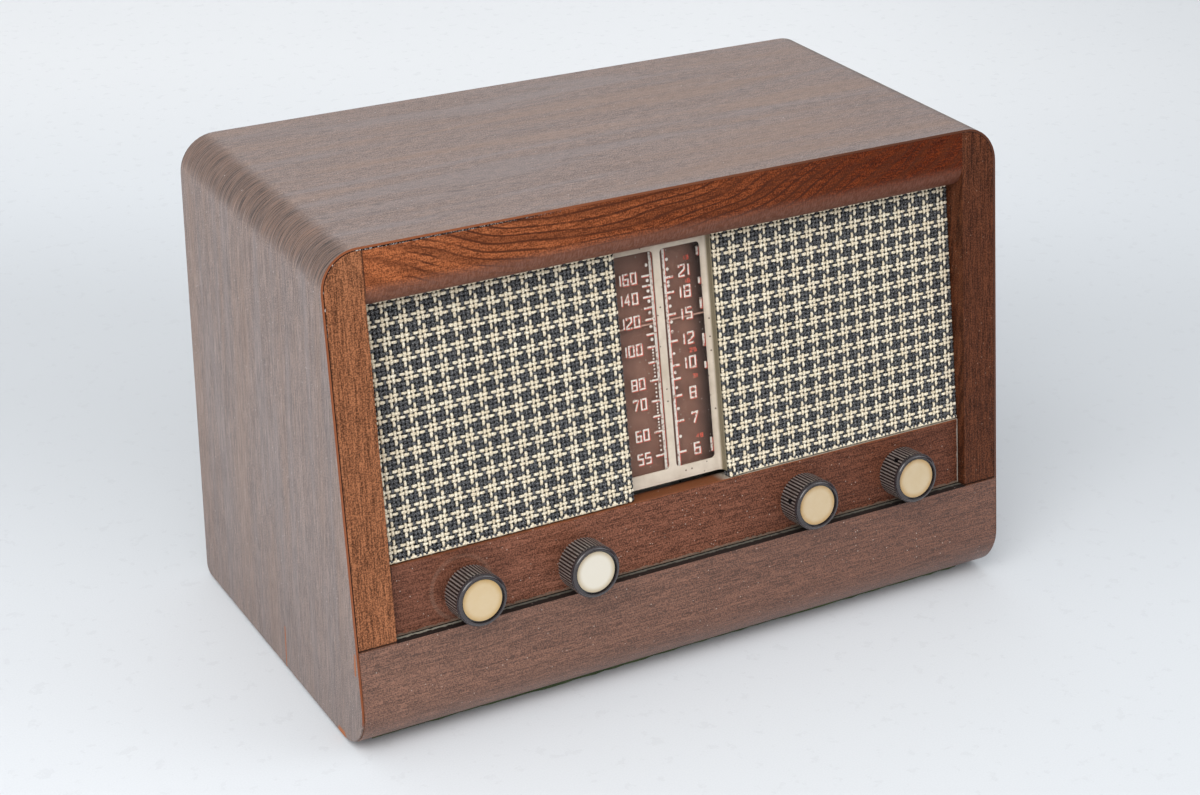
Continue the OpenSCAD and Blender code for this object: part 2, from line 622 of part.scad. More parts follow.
module idler(v) from_dial() difference() {
  union() {
    rod(idler_x, v, cord_y - 1.6, cord_y + 1.6, idler_r - cord_r);
    for (y = [cord_y - 1.6, cord_y + 0.9]) rod(idler_x, v, y, y + 0.7, idler_r + 1.2);
  }
  rod(idler_x, v, 0, 30, 1.5 + run_gap);
}
module idler_top() color("#c9b277") idler(idler_v[1]);
module idler_low() color("#c9b277") idler(idler_v[0]);

// Pointer: a slide on the rail, gripping the cord, with a wire across both windows
module dial_pointer() color("#9c3a2c") from_dial() difference() {
  union() {
    box(rail_x - 2.8, idler_x - idler_r + 1.8, plate_y - 0.4, cord_y + 3, point_v - 4, point_v + 4);
    box(rail_x - 2.8, rail_x + 1, 9.4, plate_y, point_v - 1.2, point_v + 1.2);
    translate([esc_x0 + 4, 10.2, point_v]) rotate([0, 90, 0])
      cylinder(r = 0.5, h = rail_x - esc_x0 - 5);
  }
  translate([rail_x, cord_y + 0.5, point_v - 10]) cylinder(r = 1.5 + run_gap, h = 20);
  translate([idler_x - idler_r - cord_gap, cord_y, point_v - 10]) cylinder(r = cord_r + cord_gap, h = 20);
}

// Five-inch loudspeaker behind the left board
spk_y = cloth_t + cloth_gap + grille_t;
module speaker_basket() color("#77797a") from_dial() translate([spk_x, spk_y, spk_v]) difference() {
  rotate([-90, 0, 0]) rotate_extrude() polygon([
    [spk_r - 10, 0], [spk_r, 0], [spk_r, 1.2], [spk_r - 8, 1.2], [spk_r - 11.5, 6],
    [26, 31], [26, 33], [14.2, 33], [14.2, 31.8], [24.8, 31.8], [24.8, 30.4], [spk_r - 12.7, 5.4]
  ]);
  for (a = [0:60:300]) rotate([0, a, 0]) translate([0, 18, 0]) box(-9, 9, -7, 8, 24, 60);
  for (a = [45:90:315]) rod((spk_r - 4) * cos(a), (spk_r - 4) * sin(a), -1, 12, 1.7);
}
module speaker_magnet() color("#55585a") from_dial() {
  rod(spk_x, spk_v, spk_y + 33, spk_y + 36, 24);
  difference() {
    rod(spk_x, spk_v, spk_y + 36, spk_y + 54, 21);
    rod(spk_x, spk_v, spk_y + 35, spk_y + 50, 16);
  }
  rod(spk_x, spk_v, spk_y + 54, spk_y + 57, 24);
}
module speaker_cone() color("#3a3632") from_dial() translate([spk_x, spk_y, spk_v]) rotate([-90, 0, 0])
  rotate_extrude() polygon([
    [0, 23], [9, 23], [12.6, 26.4], [spk_r - 17, 4.6], [spk_r - 13.5, 4.2], [spk_r - 13.5, 4.8],
    [spk_r - 16.8, 5.2], [13.2, 28.4], [13.2, 31.2], [12.2, 31.2], [12.2, 27.4], [8.7, 24], [0, 24]
  ]);
module speaker_screws() color("#b8b4a8") from_dial() for (a = [45:90:315]) {
  x = spk_x + (spk_r - 4) * cos(a);
  v = spk_v + (spk_r - 4) * sin(a);
  rod(x, v, cloth_t + 0.4, spk_y + 7, 1.6);
  translate([x, spk_y + 4.2, v]) rotate([90, 0, 0]) difference() {
    linear_extrude(3) hex(3.4);
    translate([0, 0, -1]) cylinder(r = 1.6, h = 5);
  }
}

// Transformers: laminated cores and their windings
tr = [[-105, 150, 66, 56, 54], [-130, 80, 40, 42, 26]];
core_leg = 0.14;                                      // of a core's width
module transformer_cores() color("#6d6f6e") from_floor() for (t = tr) difference() {
  box(t[0] - t[2] / 2, t[0] + t[2] / 2, t[1] - 15, t[1] + 15, ch_top, ch_top + t[4]);
  for (s = [-1, 1]) box(t[0] + s * t[2] * 0.26 - t[2] * 0.12, t[0] + s * t[2] * 0.26 + t[2] * 0.12,
                        t[1] - 20, t[1] + 20, ch_top + core_leg * t[2], ch_top + t[4] - core_leg * t[2]);
}
module transformer_coils() color("#7b4f2f") from_floor() for (t = tr) difference() {
  box(t[0] - t[2] * 0.36, t[0] + t[2] * 0.36, t[1] - t[3] / 2, t[1] + t[3] / 2,
      ch_top + core_leg * t[2] + 0.2, ch_top + t[4] - core_leg * t[2] - 0.2);
  box(t[0] - t[2] * 0.14 - 0.2, t[0] + t[2] * 0.14 + 0.2, t[1] - 15.2, t[1] + 15.2, 0, 400);
  for (s = [-1, 1]) box(t[0] + s * t[2] - t[2] * 0.62 - 0.2, t[0] + s * t[2] + t[2] * 0.62 + 0.2,
                        t[1] - 15.2, t[1] + 15.2, 0, 400);
}
module smoothing_can() color("#b4b6b4") from_floor() translate([can_at[0], can_at[1], ch_top]) {
  cylinder(r = 17.5, h = 70);
  translate([0, 0, 70]) cylinder(r = 16, h = 2);
  translate([0, 0, -9]) cylinder(r = 6, h = 9);
}
module coil_cans() color("#b4b6b4") from_floor() for (c = cans) difference() {
  translate([c[0], c[1], ch_top]) linear_extrude(c[3]) round_rect(-c[2], c[2], -c[2], c[2], 4);
  translate([c[0], c[1], ch_top - 1]) linear_extrude(c[3]) round_rect(-c[2] + 1, c[2] - 1, -c[2] + 1, c[2] - 1, 3);
  for (s = [-4, 4]) translate([c[0] + s, c[1], ch_top + c[3] - 5]) cylinder(r = 2, h = 10);
}

// Valves: socket under the deck, moulded base, glass bulb
module valve_sockets() color("#4a3426") from_floor() for (v = valves) translate([v[0], v[1], ch_top]) difference() {
  union() {
    cylinder(r = v[2] + 0.5, h = 2.5);
    translate([0, 0, -9]) cylinder(r = socket_r - 0.3, h = 10);
  }
  translate([0, 0, -6]) cylinder(r = 4, h = 20);
  for (a = [0:45:315]) rotate([0, 0, a]) translate([8.7, 0, -7]) cylinder(r = 1.3, h = 20);
}
module valve_bases() color("#2b2320") from_floor() for (v = valves) translate([v[0], v[1], ch_top + 2.5]) {
  cylinder(r = v[2], h = 16);
  translate([0, 0, -8]) cylinder(r = 3.8, h = 8.5);
  for (a = [0:45:315]) rotate([0, 0, a]) translate([8.7, 0, -8.5]) cylinder(r = 1.15, h = 9);
}
module valve_bulbs() color([0.75, 0.78, 0.78, 0.5]) from_floor() for (v = valves)
  translate([v[0], v[1], ch_top + 18.5]) rotate_extrude() difference() {
    union() { square([v[3], v[4] - 8]); square([v[3] - 8, v[4]]); translate([v[3] - 8, v[4] - 8]) circle(8); }
    translate([-40, -100]) square([40, 300]);
    translate([0, 1]) { square([v[3] - 1, v[4] - 10]); square([v[3] - 8, v[4] - 2]);
      translate([v[3] - 8, v[4] - 9]) circle(7); }
  }

// Controls behind the apron
module threaded_bush(x) difference() {
  rod(x, knob_u, apron_y - 7, apron_y + steel_t + 1, bush_r);
  rod(x, knob_u, 0, 60, shaft_r + run_gap);
}
module control_pots() color("#6b5b45") from_front() for (x = [vol_x, tone_x]) {
  threaded_bush(x);
  difference() {
    union() {
      rod(x, knob_u, apron_y + steel_t, apron_y + steel_t + 11, 12);
      if (x == vol_x) rod(x, knob_u, apron_y + steel_t + 11, apron_y + steel_t + 22, 11);
      plate(apron_y + steel_t, apron_y + steel_t + 1.5) translate([x, knob_u - 15]) round_rect(-9, 9, -3.5, 6, 1);
    }
    rod(x, knob_u, 0, apron_y + steel_t + 10, shaft_r + run_gap);
  }
}
module band_switch() color("#a8763f") from_front() {
  threaded_bush(band_x);
  difference() {
    union() {
      plate(apron_y + steel_t, apron_y + steel_t + 2) translate([band_x, knob_u]) round_rect(-14, 14, -17, 14, 3);
      rod(band_x, knob_u, apron_y + steel_t + 18, apron_y + steel_t + 20, 17);
      for (s = [-1, 1]) rod(band_x + s * 11, knob_u, apron_y + steel_t + 1, apron_y + steel_t + 22, 1.6);
    }
    rod(band_x, knob_u, 0, 60, shaft_r + run_gap);
  }
}
module tuning_bush() color("#b39b5a") from_front() difference() {
  union() {
    rod(tune_x, knob_u, apron_y - 0.8, apron_y + steel_t + 14, bush_r);
    rod(tune_x, knob_u, apron_y + steel_t, apron_y + steel_t + 3, 8);
  }
  rod(tune_x, knob_u, 0, 60, shaft_r + run_gap);
}
module control_nuts() color("#b8b4a8") from_front() for (x = [vol_x, tone_x, band_x]) difference() {
  translate([x, apron_y, knob_u]) rotate([90, 0, 0]) linear_extrude(2.6) hex(7.6);
  rod(x, knob_u, 0, 60, bush_r + 0.02);
}
module terminal_strip() color("#5b3a22") from_floor() {
  plate(ch_back, ch_back + 2) difference() {
    round_rect(14, 66, ch_low + 16, ch_low + 38, 2);
    for (x = [28, 52]) translate([x, ch_low + 27]) circle(2);
  }
  for (x = [28, 52]) {
    rod(x, ch_low + 27, ch_back - 4, ch_back + 10, 1.95);
    difference() {
      rod(x, ch_low + 27, ch_back + 3, ch_back + 8, 4.4);
      rod(x, ch_low + 27, ch_back, ch_back + 20, 1.95);
    }
  }
}

// Shafts, knobs and their discs; y counts inwards from the stile faces
module shaft(x, out, y1) from_front() {
  rod(x, knob_u, 4.5 - out, y1, shaft_r);
}
// One knob, its rear face at y = 0 and its front at y = -knob_l
screw_at = 7.4;
module knob(x, out, turn) from_front() translate([x, knob_l - out, knob_u]) rotate([0, -turn, 0]) difference() {
  union() {
    difference() {
      rod(0, 0, 1.6 - knob_l, 0, knob_r);
      for (i = [0:knob_ribs - 1]) rotate([0, (i + 0.5) * 360 / knob_ribs, 0])
        rod(knob_r + 0.08, 0, 2.4 - knob_l, 1, 0.55);
    }
    // rounded bead round the face
    translate([0, 1.6 - knob_l, 0]) rotate([90, 0, 0]) rotate_extrude() translate([knob_r - 1.95, 0]) circle(1.6);
    rod(0, 0, 0.9 - knob_l, 3 - knob_l, knob_r - 1.9);
  }
  // stepped face with the seat of the disc
  rod(0, 0, -knob_l - 1, 1.3 - knob_l, disc_d / 2 + 0.9);
  rod(0, 0, -knob_l - 1, 2.6 - knob_l, disc_d / 2 + run_gap);
  // hollow rear with a hub
  difference() {
    rod(0, 0, 6 - knob_l, 1, knob_r - 2.2);
    rod(0, 0, 0, 60 - knob_l, 0.01);
    rod(0, 0, 4 - knob_l, 2, 6.2);
  }
  rod(0, 0, 4.4 - knob_l, 1, shaft_r + 0.03);
  translate([0, screw_at - knob_l, 0]) rotate([0, 90, 0]) cylinder(r = 1.7, h = knob_r + 2);
}
module disc(x, out) from_front() difference() {
  rod(x, knob_u, 1.1 - out, 2.6 - out, disc_d / 2);
}
// Headless screw that holds a knob on its shaft
module grub(x, out, turn) from_front() translate([x, screw_at - out, knob_u]) rotate([0, -turn, 0])
  difference() {
    translate([shaft_r + 0.05, 0, 0]) rotate([0, 90, 0]) cylinder(r = 1.65, h = 4.4);
    box(6.8, 9, -2, 2, -0.3, 0.3);
  }

module tuning_spindle() color("#b9bcbf") {
  from_front() difference() {
    rod(tune_x, knob_u, 4.5 - right_out, apron_y + steel_t + 17, shaft_r);
    difference() {
      rod(tune_x, knob_u, apron_y - 7.4, apron_y - 1.8, 6);
      rod(tune_x, knob_u, apron_y - 8, apron_y - 1, neck_r);
    }
  }
  from_front() difference() {
    rod(tune_x, knob_u, apron_y + steel_t + 14.3, apron_y + steel_t + 15.5, 5);
    rod(tune_x, knob_u, 0, 60, shaft_r - 0.5);
  }
  grub(tune_x, right_out, 128);
}
module tuning_knob() color("#3b3230") knob(tune_x, right_out, 128);
module tuning_disc() color("#d8c795") disc(tune_x, right_out);
module volume_shaft() color("#b9bcbf") {
  shaft(vol_x, left_out[0], apron_y + steel_t + 9);
  grub(vol_x, left_out[0], -35);
}
module volume_knob() color("#3b3230") knob(vol_x, left_out[0], -35);
module volume_disc() color("#dcc996") disc(vol_x, left_out[0]);
module tone_shaft() color("#b9bcbf") {
  shaft(tone_x, left_out[1], apron_y + steel_t + 9);
  grub(tone_x, left_out[1], -60);
}
module tone_knob() color("#3b3230") knob(tone_x, left_out[1], -60);
module tone_disc() color("#e0dcc8") disc(tone_x, left_out[1]);
module band_shaft() color("#b9bcbf") {
  shaft(band_x, right_out, apron_y + steel_t + 24);
  grub(band_x, right_out, 165);
}
module band_knob() color("#3b3230") knob(band_x, right_out, 165);
module band_disc() color("#d8c795") disc(band_x, right_out);

cabinet_wrap();
left_stile();
right_stile();
top_rail();
control_board();
plinth_rail();
bottom_board();
felt_pad();
side_cleats();
corner_blocks();
left_grille_board();
right_grille_board();
left_grille_cloth();
right_grille_cloth();
dial_escutcheon();
dial_glass();
back_cover();
back_screws();
chassis();
chassis_runners();
chassis_bolts();
dial_bracket();
dial_rods();
dial_cord();
dial_lamps();
gang_frame();
gang_stators();
speaker_basket();
speaker_magnet();
speaker_screws();
speaker_cone();
transformer_cores();
transformer_coils();
smoothing_can();
coil_cans();
valve_sockets();
valve_bases();
valve_bulbs();
control_pots();
band_switch();
tuning_bush();
control_nuts();
terminal_strip();
gang_rotor();
tuning_drum();
idler_top();
idler_low();
dial_pointer();
tuning_spindle();
tuning_knob();
tuning_disc();
volume_shaft();
volume_knob();
volume_disc();
tone_shaft();
tone_knob();
tone_disc();
band_shaft();
band_knob();
band_disc();
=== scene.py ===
# %% [markdown]
# # A table radio in a bent wooden cabinet
# The exact parts come from the CAD model and stay where they are. This lesson dresses them: it gives
# every part its finish, weaves the two grille cloths thread by thread, prints the dial, lays the felt and
# the drive cord, and sets up a plain studio. All lengths are metres unless a comment says millimetres.
# The front looks along -Y, the right side along +X, and Z is up.

# %% Load the fixed frame
import math
import random

import bpy
from mathutils import Matrix, Vector


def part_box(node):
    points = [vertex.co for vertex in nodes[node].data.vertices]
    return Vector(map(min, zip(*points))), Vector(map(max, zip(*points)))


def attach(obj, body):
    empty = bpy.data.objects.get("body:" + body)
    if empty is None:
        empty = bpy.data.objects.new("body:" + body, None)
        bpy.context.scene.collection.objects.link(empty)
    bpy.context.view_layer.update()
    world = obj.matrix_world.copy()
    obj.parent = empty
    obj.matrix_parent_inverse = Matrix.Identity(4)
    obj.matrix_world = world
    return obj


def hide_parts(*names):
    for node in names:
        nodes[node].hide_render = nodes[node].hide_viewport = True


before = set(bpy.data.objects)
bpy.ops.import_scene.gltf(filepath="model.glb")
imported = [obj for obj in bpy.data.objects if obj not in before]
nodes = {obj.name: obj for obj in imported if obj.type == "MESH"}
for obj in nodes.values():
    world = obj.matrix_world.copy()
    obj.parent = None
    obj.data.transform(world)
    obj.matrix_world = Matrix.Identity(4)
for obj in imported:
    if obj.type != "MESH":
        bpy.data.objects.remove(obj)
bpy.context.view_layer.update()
MM = 0.001

# %% [markdown]
# ## Two tilted frames
# The front of the real cabinet leans back by 8.1 degrees, and the grilles and the dial behind it by
# 11.5 degrees. A point on either is easiest to say in its own frame: across, into the set, and up the
# slope. These helpers turn such a point, in millimetres, into a place in metres.

# %% Points on the leaning front and on the dial
CAB_D, FELT = 224.0, 2.0
FRONT_LEAN, DIAL_LEAN, DIAL_STEP = math.radians(8.1), math.radians(11.5), 0.4


def leaning(x, y, up, lean, step):
    """A point across, inwards and up a leaning plane, as a place in metres."""
    return Vector((x, -CAB_D / 2 + step + y * math.cos(lean) + up * math.sin(lean),
                   FELT + up * math.cos(lean) - y * math.sin(lean))) * MM


def front_point(x, y, up):
    return leaning(x, y, up, FRONT_LEAN, 0.0)


def dial_point(x, y, up):
    return leaning(x, y, up, DIAL_LEAN, DIAL_STEP)


RIGHT, LEFT, BACK = Vector((1.0, 0.0, 0.0)), Vector((-1.0, 0.0, 0.0)), Vector((0.0, 1.0, 0.0))
front_in = Vector((0.0, math.cos(FRONT_LEAN), -math.sin(FRONT_LEAN)))
front_up = Vector((0.0, math.sin(FRONT_LEAN), math.cos(FRONT_LEAN)))
dial_in = Vector((0.0, math.cos(DIAL_LEAN), -math.sin(DIAL_LEAN)))
dial_up = Vector((0.0, math.sin(DIAL_LEAN), math.cos(DIAL_LEAN)))
print("lower front edge", front_point(0, 0, 0), "middle of the dial", dial_point(-5.75, 5.4, 173))

# %% [markdown]
# ## Short words for shader nodes
# A material in Blender is a graph of nodes. This class adds one node at a time to a graph: an input given
# as another node's output is linked, and a plain number or colour is written into the node. The short
# words keep the graphs below easy to read.

# %% Node words


class Graph:
    """A shader graph that grows by short words. Each word but put gives one output socket."""

    def __init__(self, tree):
        self.tree = tree

    def fill(self, socket, value):
        """Link an input, or write a plain value into it. A colour is three numbers."""
        if isinstance(value, bpy.types.NodeSocket):
            self.tree.links.new(value, socket)
        elif socket.type == "RGBA":
            socket.default_value = (*value, 1.0)
        else:
            socket.default_value = value

    def put(self, kind, inputs=None, **settings):
        """Add a node, set its options, fill its inputs, and give its outputs."""
        new = self.tree.nodes.new("ShaderNode" + kind)
        for key, value in settings.items():
            setattr(new, key, value)
        for key, value in (inputs or {}).items():
            self.fill(new.inputs[key], value)
        return new.outputs

    def calc(self, operation, *values, clamp=False):
        """One arithmetic step."""
        return self.put("Math", dict(enumerate(values)), operation=operation, use_clamp=clamp)[0]

    def times(self, *values):
        """All the values multiplied together."""
        result = values[0]
        for value in values[1:]:
            result = self.calc("MULTIPLY", result, value)
        return result

    def vector(self, operation, *values):
        """One step with vectors; some steps give a number."""
        made = self.put("VectorMath", dict(enumerate(values)), operation=operation)
        return made["Value" if operation in ("DOT_PRODUCT", "LENGTH", "DISTANCE") else "Vector"]

    def blend(self, mask, a, b, kind="MIX"):
        """Colour a where the mask is 0 and colour b where it is 1."""
        return self.put("Mix", {0: mask, 6: a, 7: b}, data_type="RGBA", blend_type=kind)[2]

    def step(self, value, low, high):
        """0 below low, 1 above high, and a smooth rise between; low may be the larger one."""
        return self.put("MapRange", {"Value": value, "From Min": low, "From Max": high},
                        interpolation_type="SMOOTHSTEP")["Result"]

    def near(self, value, middle, far, close):
        """1 where a value is within close of the middle, 0 where it is beyond far."""
        return self.step(self.calc("ABSOLUTE", self.calc("SUBTRACT", value, middle)), far, close)


print("node words", [word for word in vars(Graph) if not word.startswith("_")])

# %% [markdown]
# Patterns need a place to be laid over. In a material it is the place on the object, in metres, so that a
# pattern keeps its real size, and in a group it is whatever the material hands in. The next class keeps
# that place as `where` and adds the words that read it.

# %% Pattern words


class Pattern(Graph):
    """A graph that knows where it is: noise, axes and groups are laid over its place."""

    where = None

    def noise(self, scale, detail, rough=0.5, twist=0.0, at=None):
        """Noise. A scale of three numbers says how often it changes per metre along X, Y and Z."""
        at = at or self.where
        if isinstance(scale, tuple):
            at, scale = self.vector("MULTIPLY", at, scale), 1.0
        return self.put("TexNoise", {"Vector": at, "Scale": scale, "Detail": detail, "Roughness": rough,
                                     "Distortion": twist})["Fac"]

    def coordinate(self, letter):
        return self.put("SeparateXYZ", {0: self.where})[letter]

    def along(self, axis):
        """How far a place lies along a direction."""
        return self.vector("DOT_PRODUCT", self.where, axis)

    def facing(self, direction):
        """How squarely a surface faces a fixed direction: 1 when it looks straight that way."""
        return self.vector("DOT_PRODUCT", self.put("NewGeometry")["Normal"], direction)

    def use(self, group, **inputs):
        """Place a group and give its outputs; a space in an input's name is written as an underscore."""
        made = self.tree.nodes.new("ShaderNodeGroup")
        made.node_tree = group.tree
        self.fill(made.inputs["Vector"], self.where)
        for key, value in inputs.items():
            self.fill(made.inputs[key.replace("_", " ")], value)
        return made.outputs


print("pattern words", [word for word in vars(Pattern) if not word.startswith("_")])

# %% [markdown]
# ## The camera
# The photograph was taken from the left and above, with a long lens. The place, the three angles and
# the focal length were worked out from the straight edges of the cabinet, so the edges of the model
# fall on the edges in the picture. Turning first about Z, then X, then Y gives the camera's own axes.

# %% Camera
YAW, PITCH, ROLL = math.radians(-29.89), math.radians(-25.93), math.radians(-0.824)
scene = bpy.context.scene
scene.view_settings.view_transform = "Standard"
turn = Matrix.Rotation(YAW, 3, "Z") @ Matrix.Rotation(PITCH, 3, "X") @ Matrix.Rotation(ROLL, 3, "Y")
right, forward, up = turn.col
camera = bpy.data.objects.new("camera", bpy.data.cameras.new("camera"))
camera.matrix_world = Matrix.LocRotScale(
    Vector((-0.60814, -1.05143, 0.70662)), Matrix((right, up, -forward)).transposed(), None)
camera.data.sensor_width = 36.0
camera.data.lens = 71.49
camera.data.clip_start = 0.01
scene.collection.objects.link(camera)
scene.camera = camera
print("camera at", camera.location, "lens", camera.data.lens)

# %% [markdown]
# ## The studio
# The set stood on a white sweep of paper among large soft lamps. A big plane that curves up far behind
# the set is that sweep.

# %% Sweep of paper
SWEEP_FRONT, SWEEP_FLAT, SWEEP_R, SWEEP_TOP, SWEEP_HALF = -0.72, 2.6, 1.6, 4.5, 6.0
SWEEP_STEPS = 12


def link(obj):
    scene.collection.objects.link(obj)
    return obj


def mesh_piece(name, points, faces, smooth=True):
    """A new mesh object from points in metres and lists of corner numbers."""
    mesh = bpy.data.meshes.new(name)
    mesh.from_pydata([tuple(p) for p in points], [], faces)
    mesh.update()
    if smooth:
        mesh.shade_smooth()
    return link(bpy.data.objects.new(name, mesh))


sweep_line = [(SWEEP_FRONT, 0.0), (SWEEP_FLAT, 0.0)]
for k in range(1, SWEEP_STEPS + 1):
    angle = math.pi / 2 * k / SWEEP_STEPS
    sweep_line.append((SWEEP_FLAT + SWEEP_R * math.sin(angle), SWEEP_R - SWEEP_R * math.cos(angle)))
sweep_line.append((SWEEP_FLAT + SWEEP_R, SWEEP_TOP))
sweep_points = [(x, y, z) for y, z in sweep_line for x in (-SWEEP_HALF, SWEEP_HALF)]
sweep_faces = [(2 * k, 2 * k + 1, 2 * k + 3, 2 * k + 2) for k in range(len(sweep_line) - 1)]
sweep = mesh_piece("paper_sweep", sweep_points, sweep_faces)
print("sweep", len(sweep_faces), "faces")

# %% [markdown]
# Two wide area lamps and a pale world make soft shadows. The world is bright above and to the left and
# dark low on the right and behind, as in a studio with one open side. This keeps the lacquered front from
# mirroring white and losing its colour. Only the camera sees the world evenly pale.

# %% Lamps and world


def lamp(name, place, target, size, watts, colour):
    """A square area lamp at place that looks at target."""
    light = bpy.data.lights.new(name, "AREA")
    light.size, light.energy, light.color = size, watts, colour
    obj = link(bpy.data.objects.new(name, light))
    look = (Vector(target) - Vector(place)).to_track_quat("-Z", "Y")
    obj.matrix_world = Matrix.LocRotScale(Vector(place), look, None)


lamp("key_lamp", (-1.5, -1.3, 2.1), (0.0, 0.0, 0.12), 1.7, 37.5, (1.0, 0.985, 0.965))
lamp("fill_lamp", (2.0, -1.5, 1.6), (0.0, 0.0, 0.12), 1.8, 15.0, (0.95, 0.975, 1.0))
world = bpy.data.worlds.new("studio")
scene.world = world
world.use_nodes = True
sky = Pattern(world.node_tree)
sky.where = sky.put("TexCoord")["Generated"]
open_side = sky.step(sky.along((-0.50, -0.34, 0.80)), -0.05, 0.62)
light_sky = world.node_tree.nodes["Background"]
sky.fill(light_sky.inputs["Color"], sky.blend(open_side, (0.10, 0.105, 0.115), (0.95, 0.98, 1.0)))
light_sky.inputs["Strength"].default_value = 1.10
seen_sky = sky.put("Background", {"Color": (0.84, 0.87, 0.90), "Strength": 1.0})[0]
to_camera = sky.put("LightPath")["Is Camera Ray"]
seen = sky.put("MixShader", {0: to_camera, 1: light_sky.outputs[0], 2: seen_sky})[0]
sky.fill(world.node_tree.nodes["World Output"].inputs["Surface"], seen)

# %% [markdown]
# ## Wood grain as a group
# Walnut shows three things: soft bands of colour that run with the grain, fine dark pores a few
# millimetres long, and pale flecks of filler in some of them. All are noise that is squeezed along the
# grain, so one group serves every wooden part. Each Stretch input says how often the noise changes per
# metre along X, Y and Z: a small number lies along the grain.

# %% Group: wood grain


class Group(Pattern):
    """A node group whose named inputs are numbers or vectors and whose outputs are numbers."""

    def __init__(self, name, outputs, **inputs):
        tree = bpy.data.node_groups.new(name, "ShaderNodeTree")
        super().__init__(tree)
        for key, value in dict(Vector=(0, 0, 0), **inputs).items():
            kind = "NodeSocketVector" if isinstance(value, tuple) else "NodeSocketFloat"
            socket = tree.interface.new_socket(key.replace("_", " "), in_out="INPUT", socket_type=kind)
            socket.default_value = value
        for label in outputs:
            tree.interface.new_socket(label, in_out="OUTPUT", socket_type="NodeSocketFloat")
        self.given = tree.nodes.new("NodeGroupInput").outputs
        self.out = tree.nodes.new("NodeGroupOutput").inputs
        self.where = self.given["Vector"]

    def give(self, **values):
        """Link the group's outputs."""
        for label, value in values.items():
            self.fill(self.out[label], value)


grain_group = group = Group("wood grain", ("Figure", "Streaks", "Pores", "Flecks", "Height"),
                            Stretch=(10, 200, 10), Waviness=0.6, Pore_Stretch=(150, 1500, 150))
squeezed = group.vector("MULTIPLY", group.where, group.given["Stretch"])
bands = group.noise(1.0, 5.0, 0.6, group.given["Waviness"], at=squeezed)
lines = group.noise(4.5, 3.0, 0.7, at=squeezed)
short = group.vector("MULTIPLY", group.where, group.given["Pore Stretch"])
pore_noise = group.noise(1.0, 2.0, 0.55, at=short)
pores = group.step(pore_noise, 0.50, 0.60)
relief = group.calc("SUBTRACT", group.times(lines, 0.5), group.times(pores, 0.8))
group.give(Figure=group.step(bands, 0.28, 0.72), Streaks=group.step(lines, 0.35, 0.65), Pores=pores,
           Flecks=group.step(pore_noise, 0.46, 0.38), Height=relief)
print("group", grain_group.tree.name, "nodes", len(grain_group.tree.nodes))

# %% [markdown]
# ## Wear, dust and mottle as groups
# An old cabinet is paler and rougher where hands and cloths have rubbed it, and dust sits in its corners.
# The first group marks a band beside any plane, broken up by noise, for worn edges and dusty seams. The
# second gives small specks. The third gives slow patches that keep a large surface from looking flat.

# %% Groups: band beside a plane, specks, patches
band_group = group = Group("band beside a plane", ("Mask",), Normal=(0, 0, 1), Offset=0.0,
                           Width=0.002, Ragged=0.6, Noise_Scale=120.0)
across = group.along(group.given["Normal"])
distance = group.calc("ABSOLUTE", group.calc("SUBTRACT", across, group.given["Offset"]))
ragged = group.noise(group.given["Noise Scale"], 4.0)
swing = group.times(group.calc("SUBTRACT", ragged, 0.5), group.given["Ragged"], 4.0)
reach = group.times(group.given["Width"], group.calc("ADD", 1.0, swing))
share = group.calc("DIVIDE", distance, group.calc("MAXIMUM", reach, 0.00001))
group.give(Mask=group.step(share, 1.0, 0.55))

speck_group = group = Group("specks", ("Mask",), Scale=900.0, Amount=0.08)
cells = group.put("TexVoronoi", {"Vector": group.where, "Scale": group.given["Scale"], "Randomness": 1.0})
chance = group.put("SeparateColor", {0: cells["Color"]})[0]
chosen = group.calc("LESS_THAN", chance, group.given["Amount"])
group.give(Mask=group.times(group.step(cells["Distance"], 0.34, 0.16), chosen))

patch_group = group = Group("patches", ("Value",), Scale=12.0, Contrast=1.0)
slow = group.noise(group.given["Scale"], 6.0, 0.62)
swing = group.times(group.calc("SUBTRACT", slow, 0.5), group.given["Contrast"], 2.2)
group.give(Value=group.calc("ADD", 0.5, swing, clamp=True))
print("groups", [made.name for made in bpy.data.node_groups])

# %% [markdown]
# ## Distance from the bent sheet's outside
# The crack under the veneer and the layers of the plywood follow the arched outline of the cabinet. This
# group gives how far inside that outline a point lies, as a negative number of metres: the usual distance
# to a box with rounded corners, taken in X and Z.

# %% Group: distance from the arch
ARCH_HALF, ARCH_TOP, ARCH_R = 0.203, 0.2696, 0.0203
arch_group = group = Group("arch distance", ("Distance",))
beside = group.calc("SUBTRACT", group.calc("ABSOLUTE", group.coordinate("X")), ARCH_HALF - ARCH_R)
above = group.calc("SUBTRACT", group.coordinate("Z"), ARCH_TOP - ARCH_R)
side_out = group.calc("MAXIMUM", beside, 0.0)
top_out = group.calc("MAXIMUM", above, 0.0)
squares = group.calc("ADD", group.times(side_out, side_out), group.times(top_out, top_out))
within = group.calc("MINIMUM", group.calc("MAXIMUM", beside, above), 0.0)
outline = group.calc("ADD", group.calc("SQRT", squares), within)
group.give(Distance=group.calc("SUBTRACT", outline, ARCH_R))
print("arch", ARCH_HALF, ARCH_TOP, ARCH_R)

# %% [markdown]
# ## A finish in the making
# Most finishes are built the same way: a first colour, more colours laid over it where a mask is 1, and
# then a roughness and a height. This class holds the graph and the colour so far, and knows the groups.
# Values that are the same all over the surface go straight onto the shader.

# %% Finish maker


def level(axis, place):
    """How far along an axis a place lies. A plain number already says that."""
    return place.dot(axis) if isinstance(place, Vector) else place


def shade(colour, factor):
    return tuple(c * factor for c in colour)


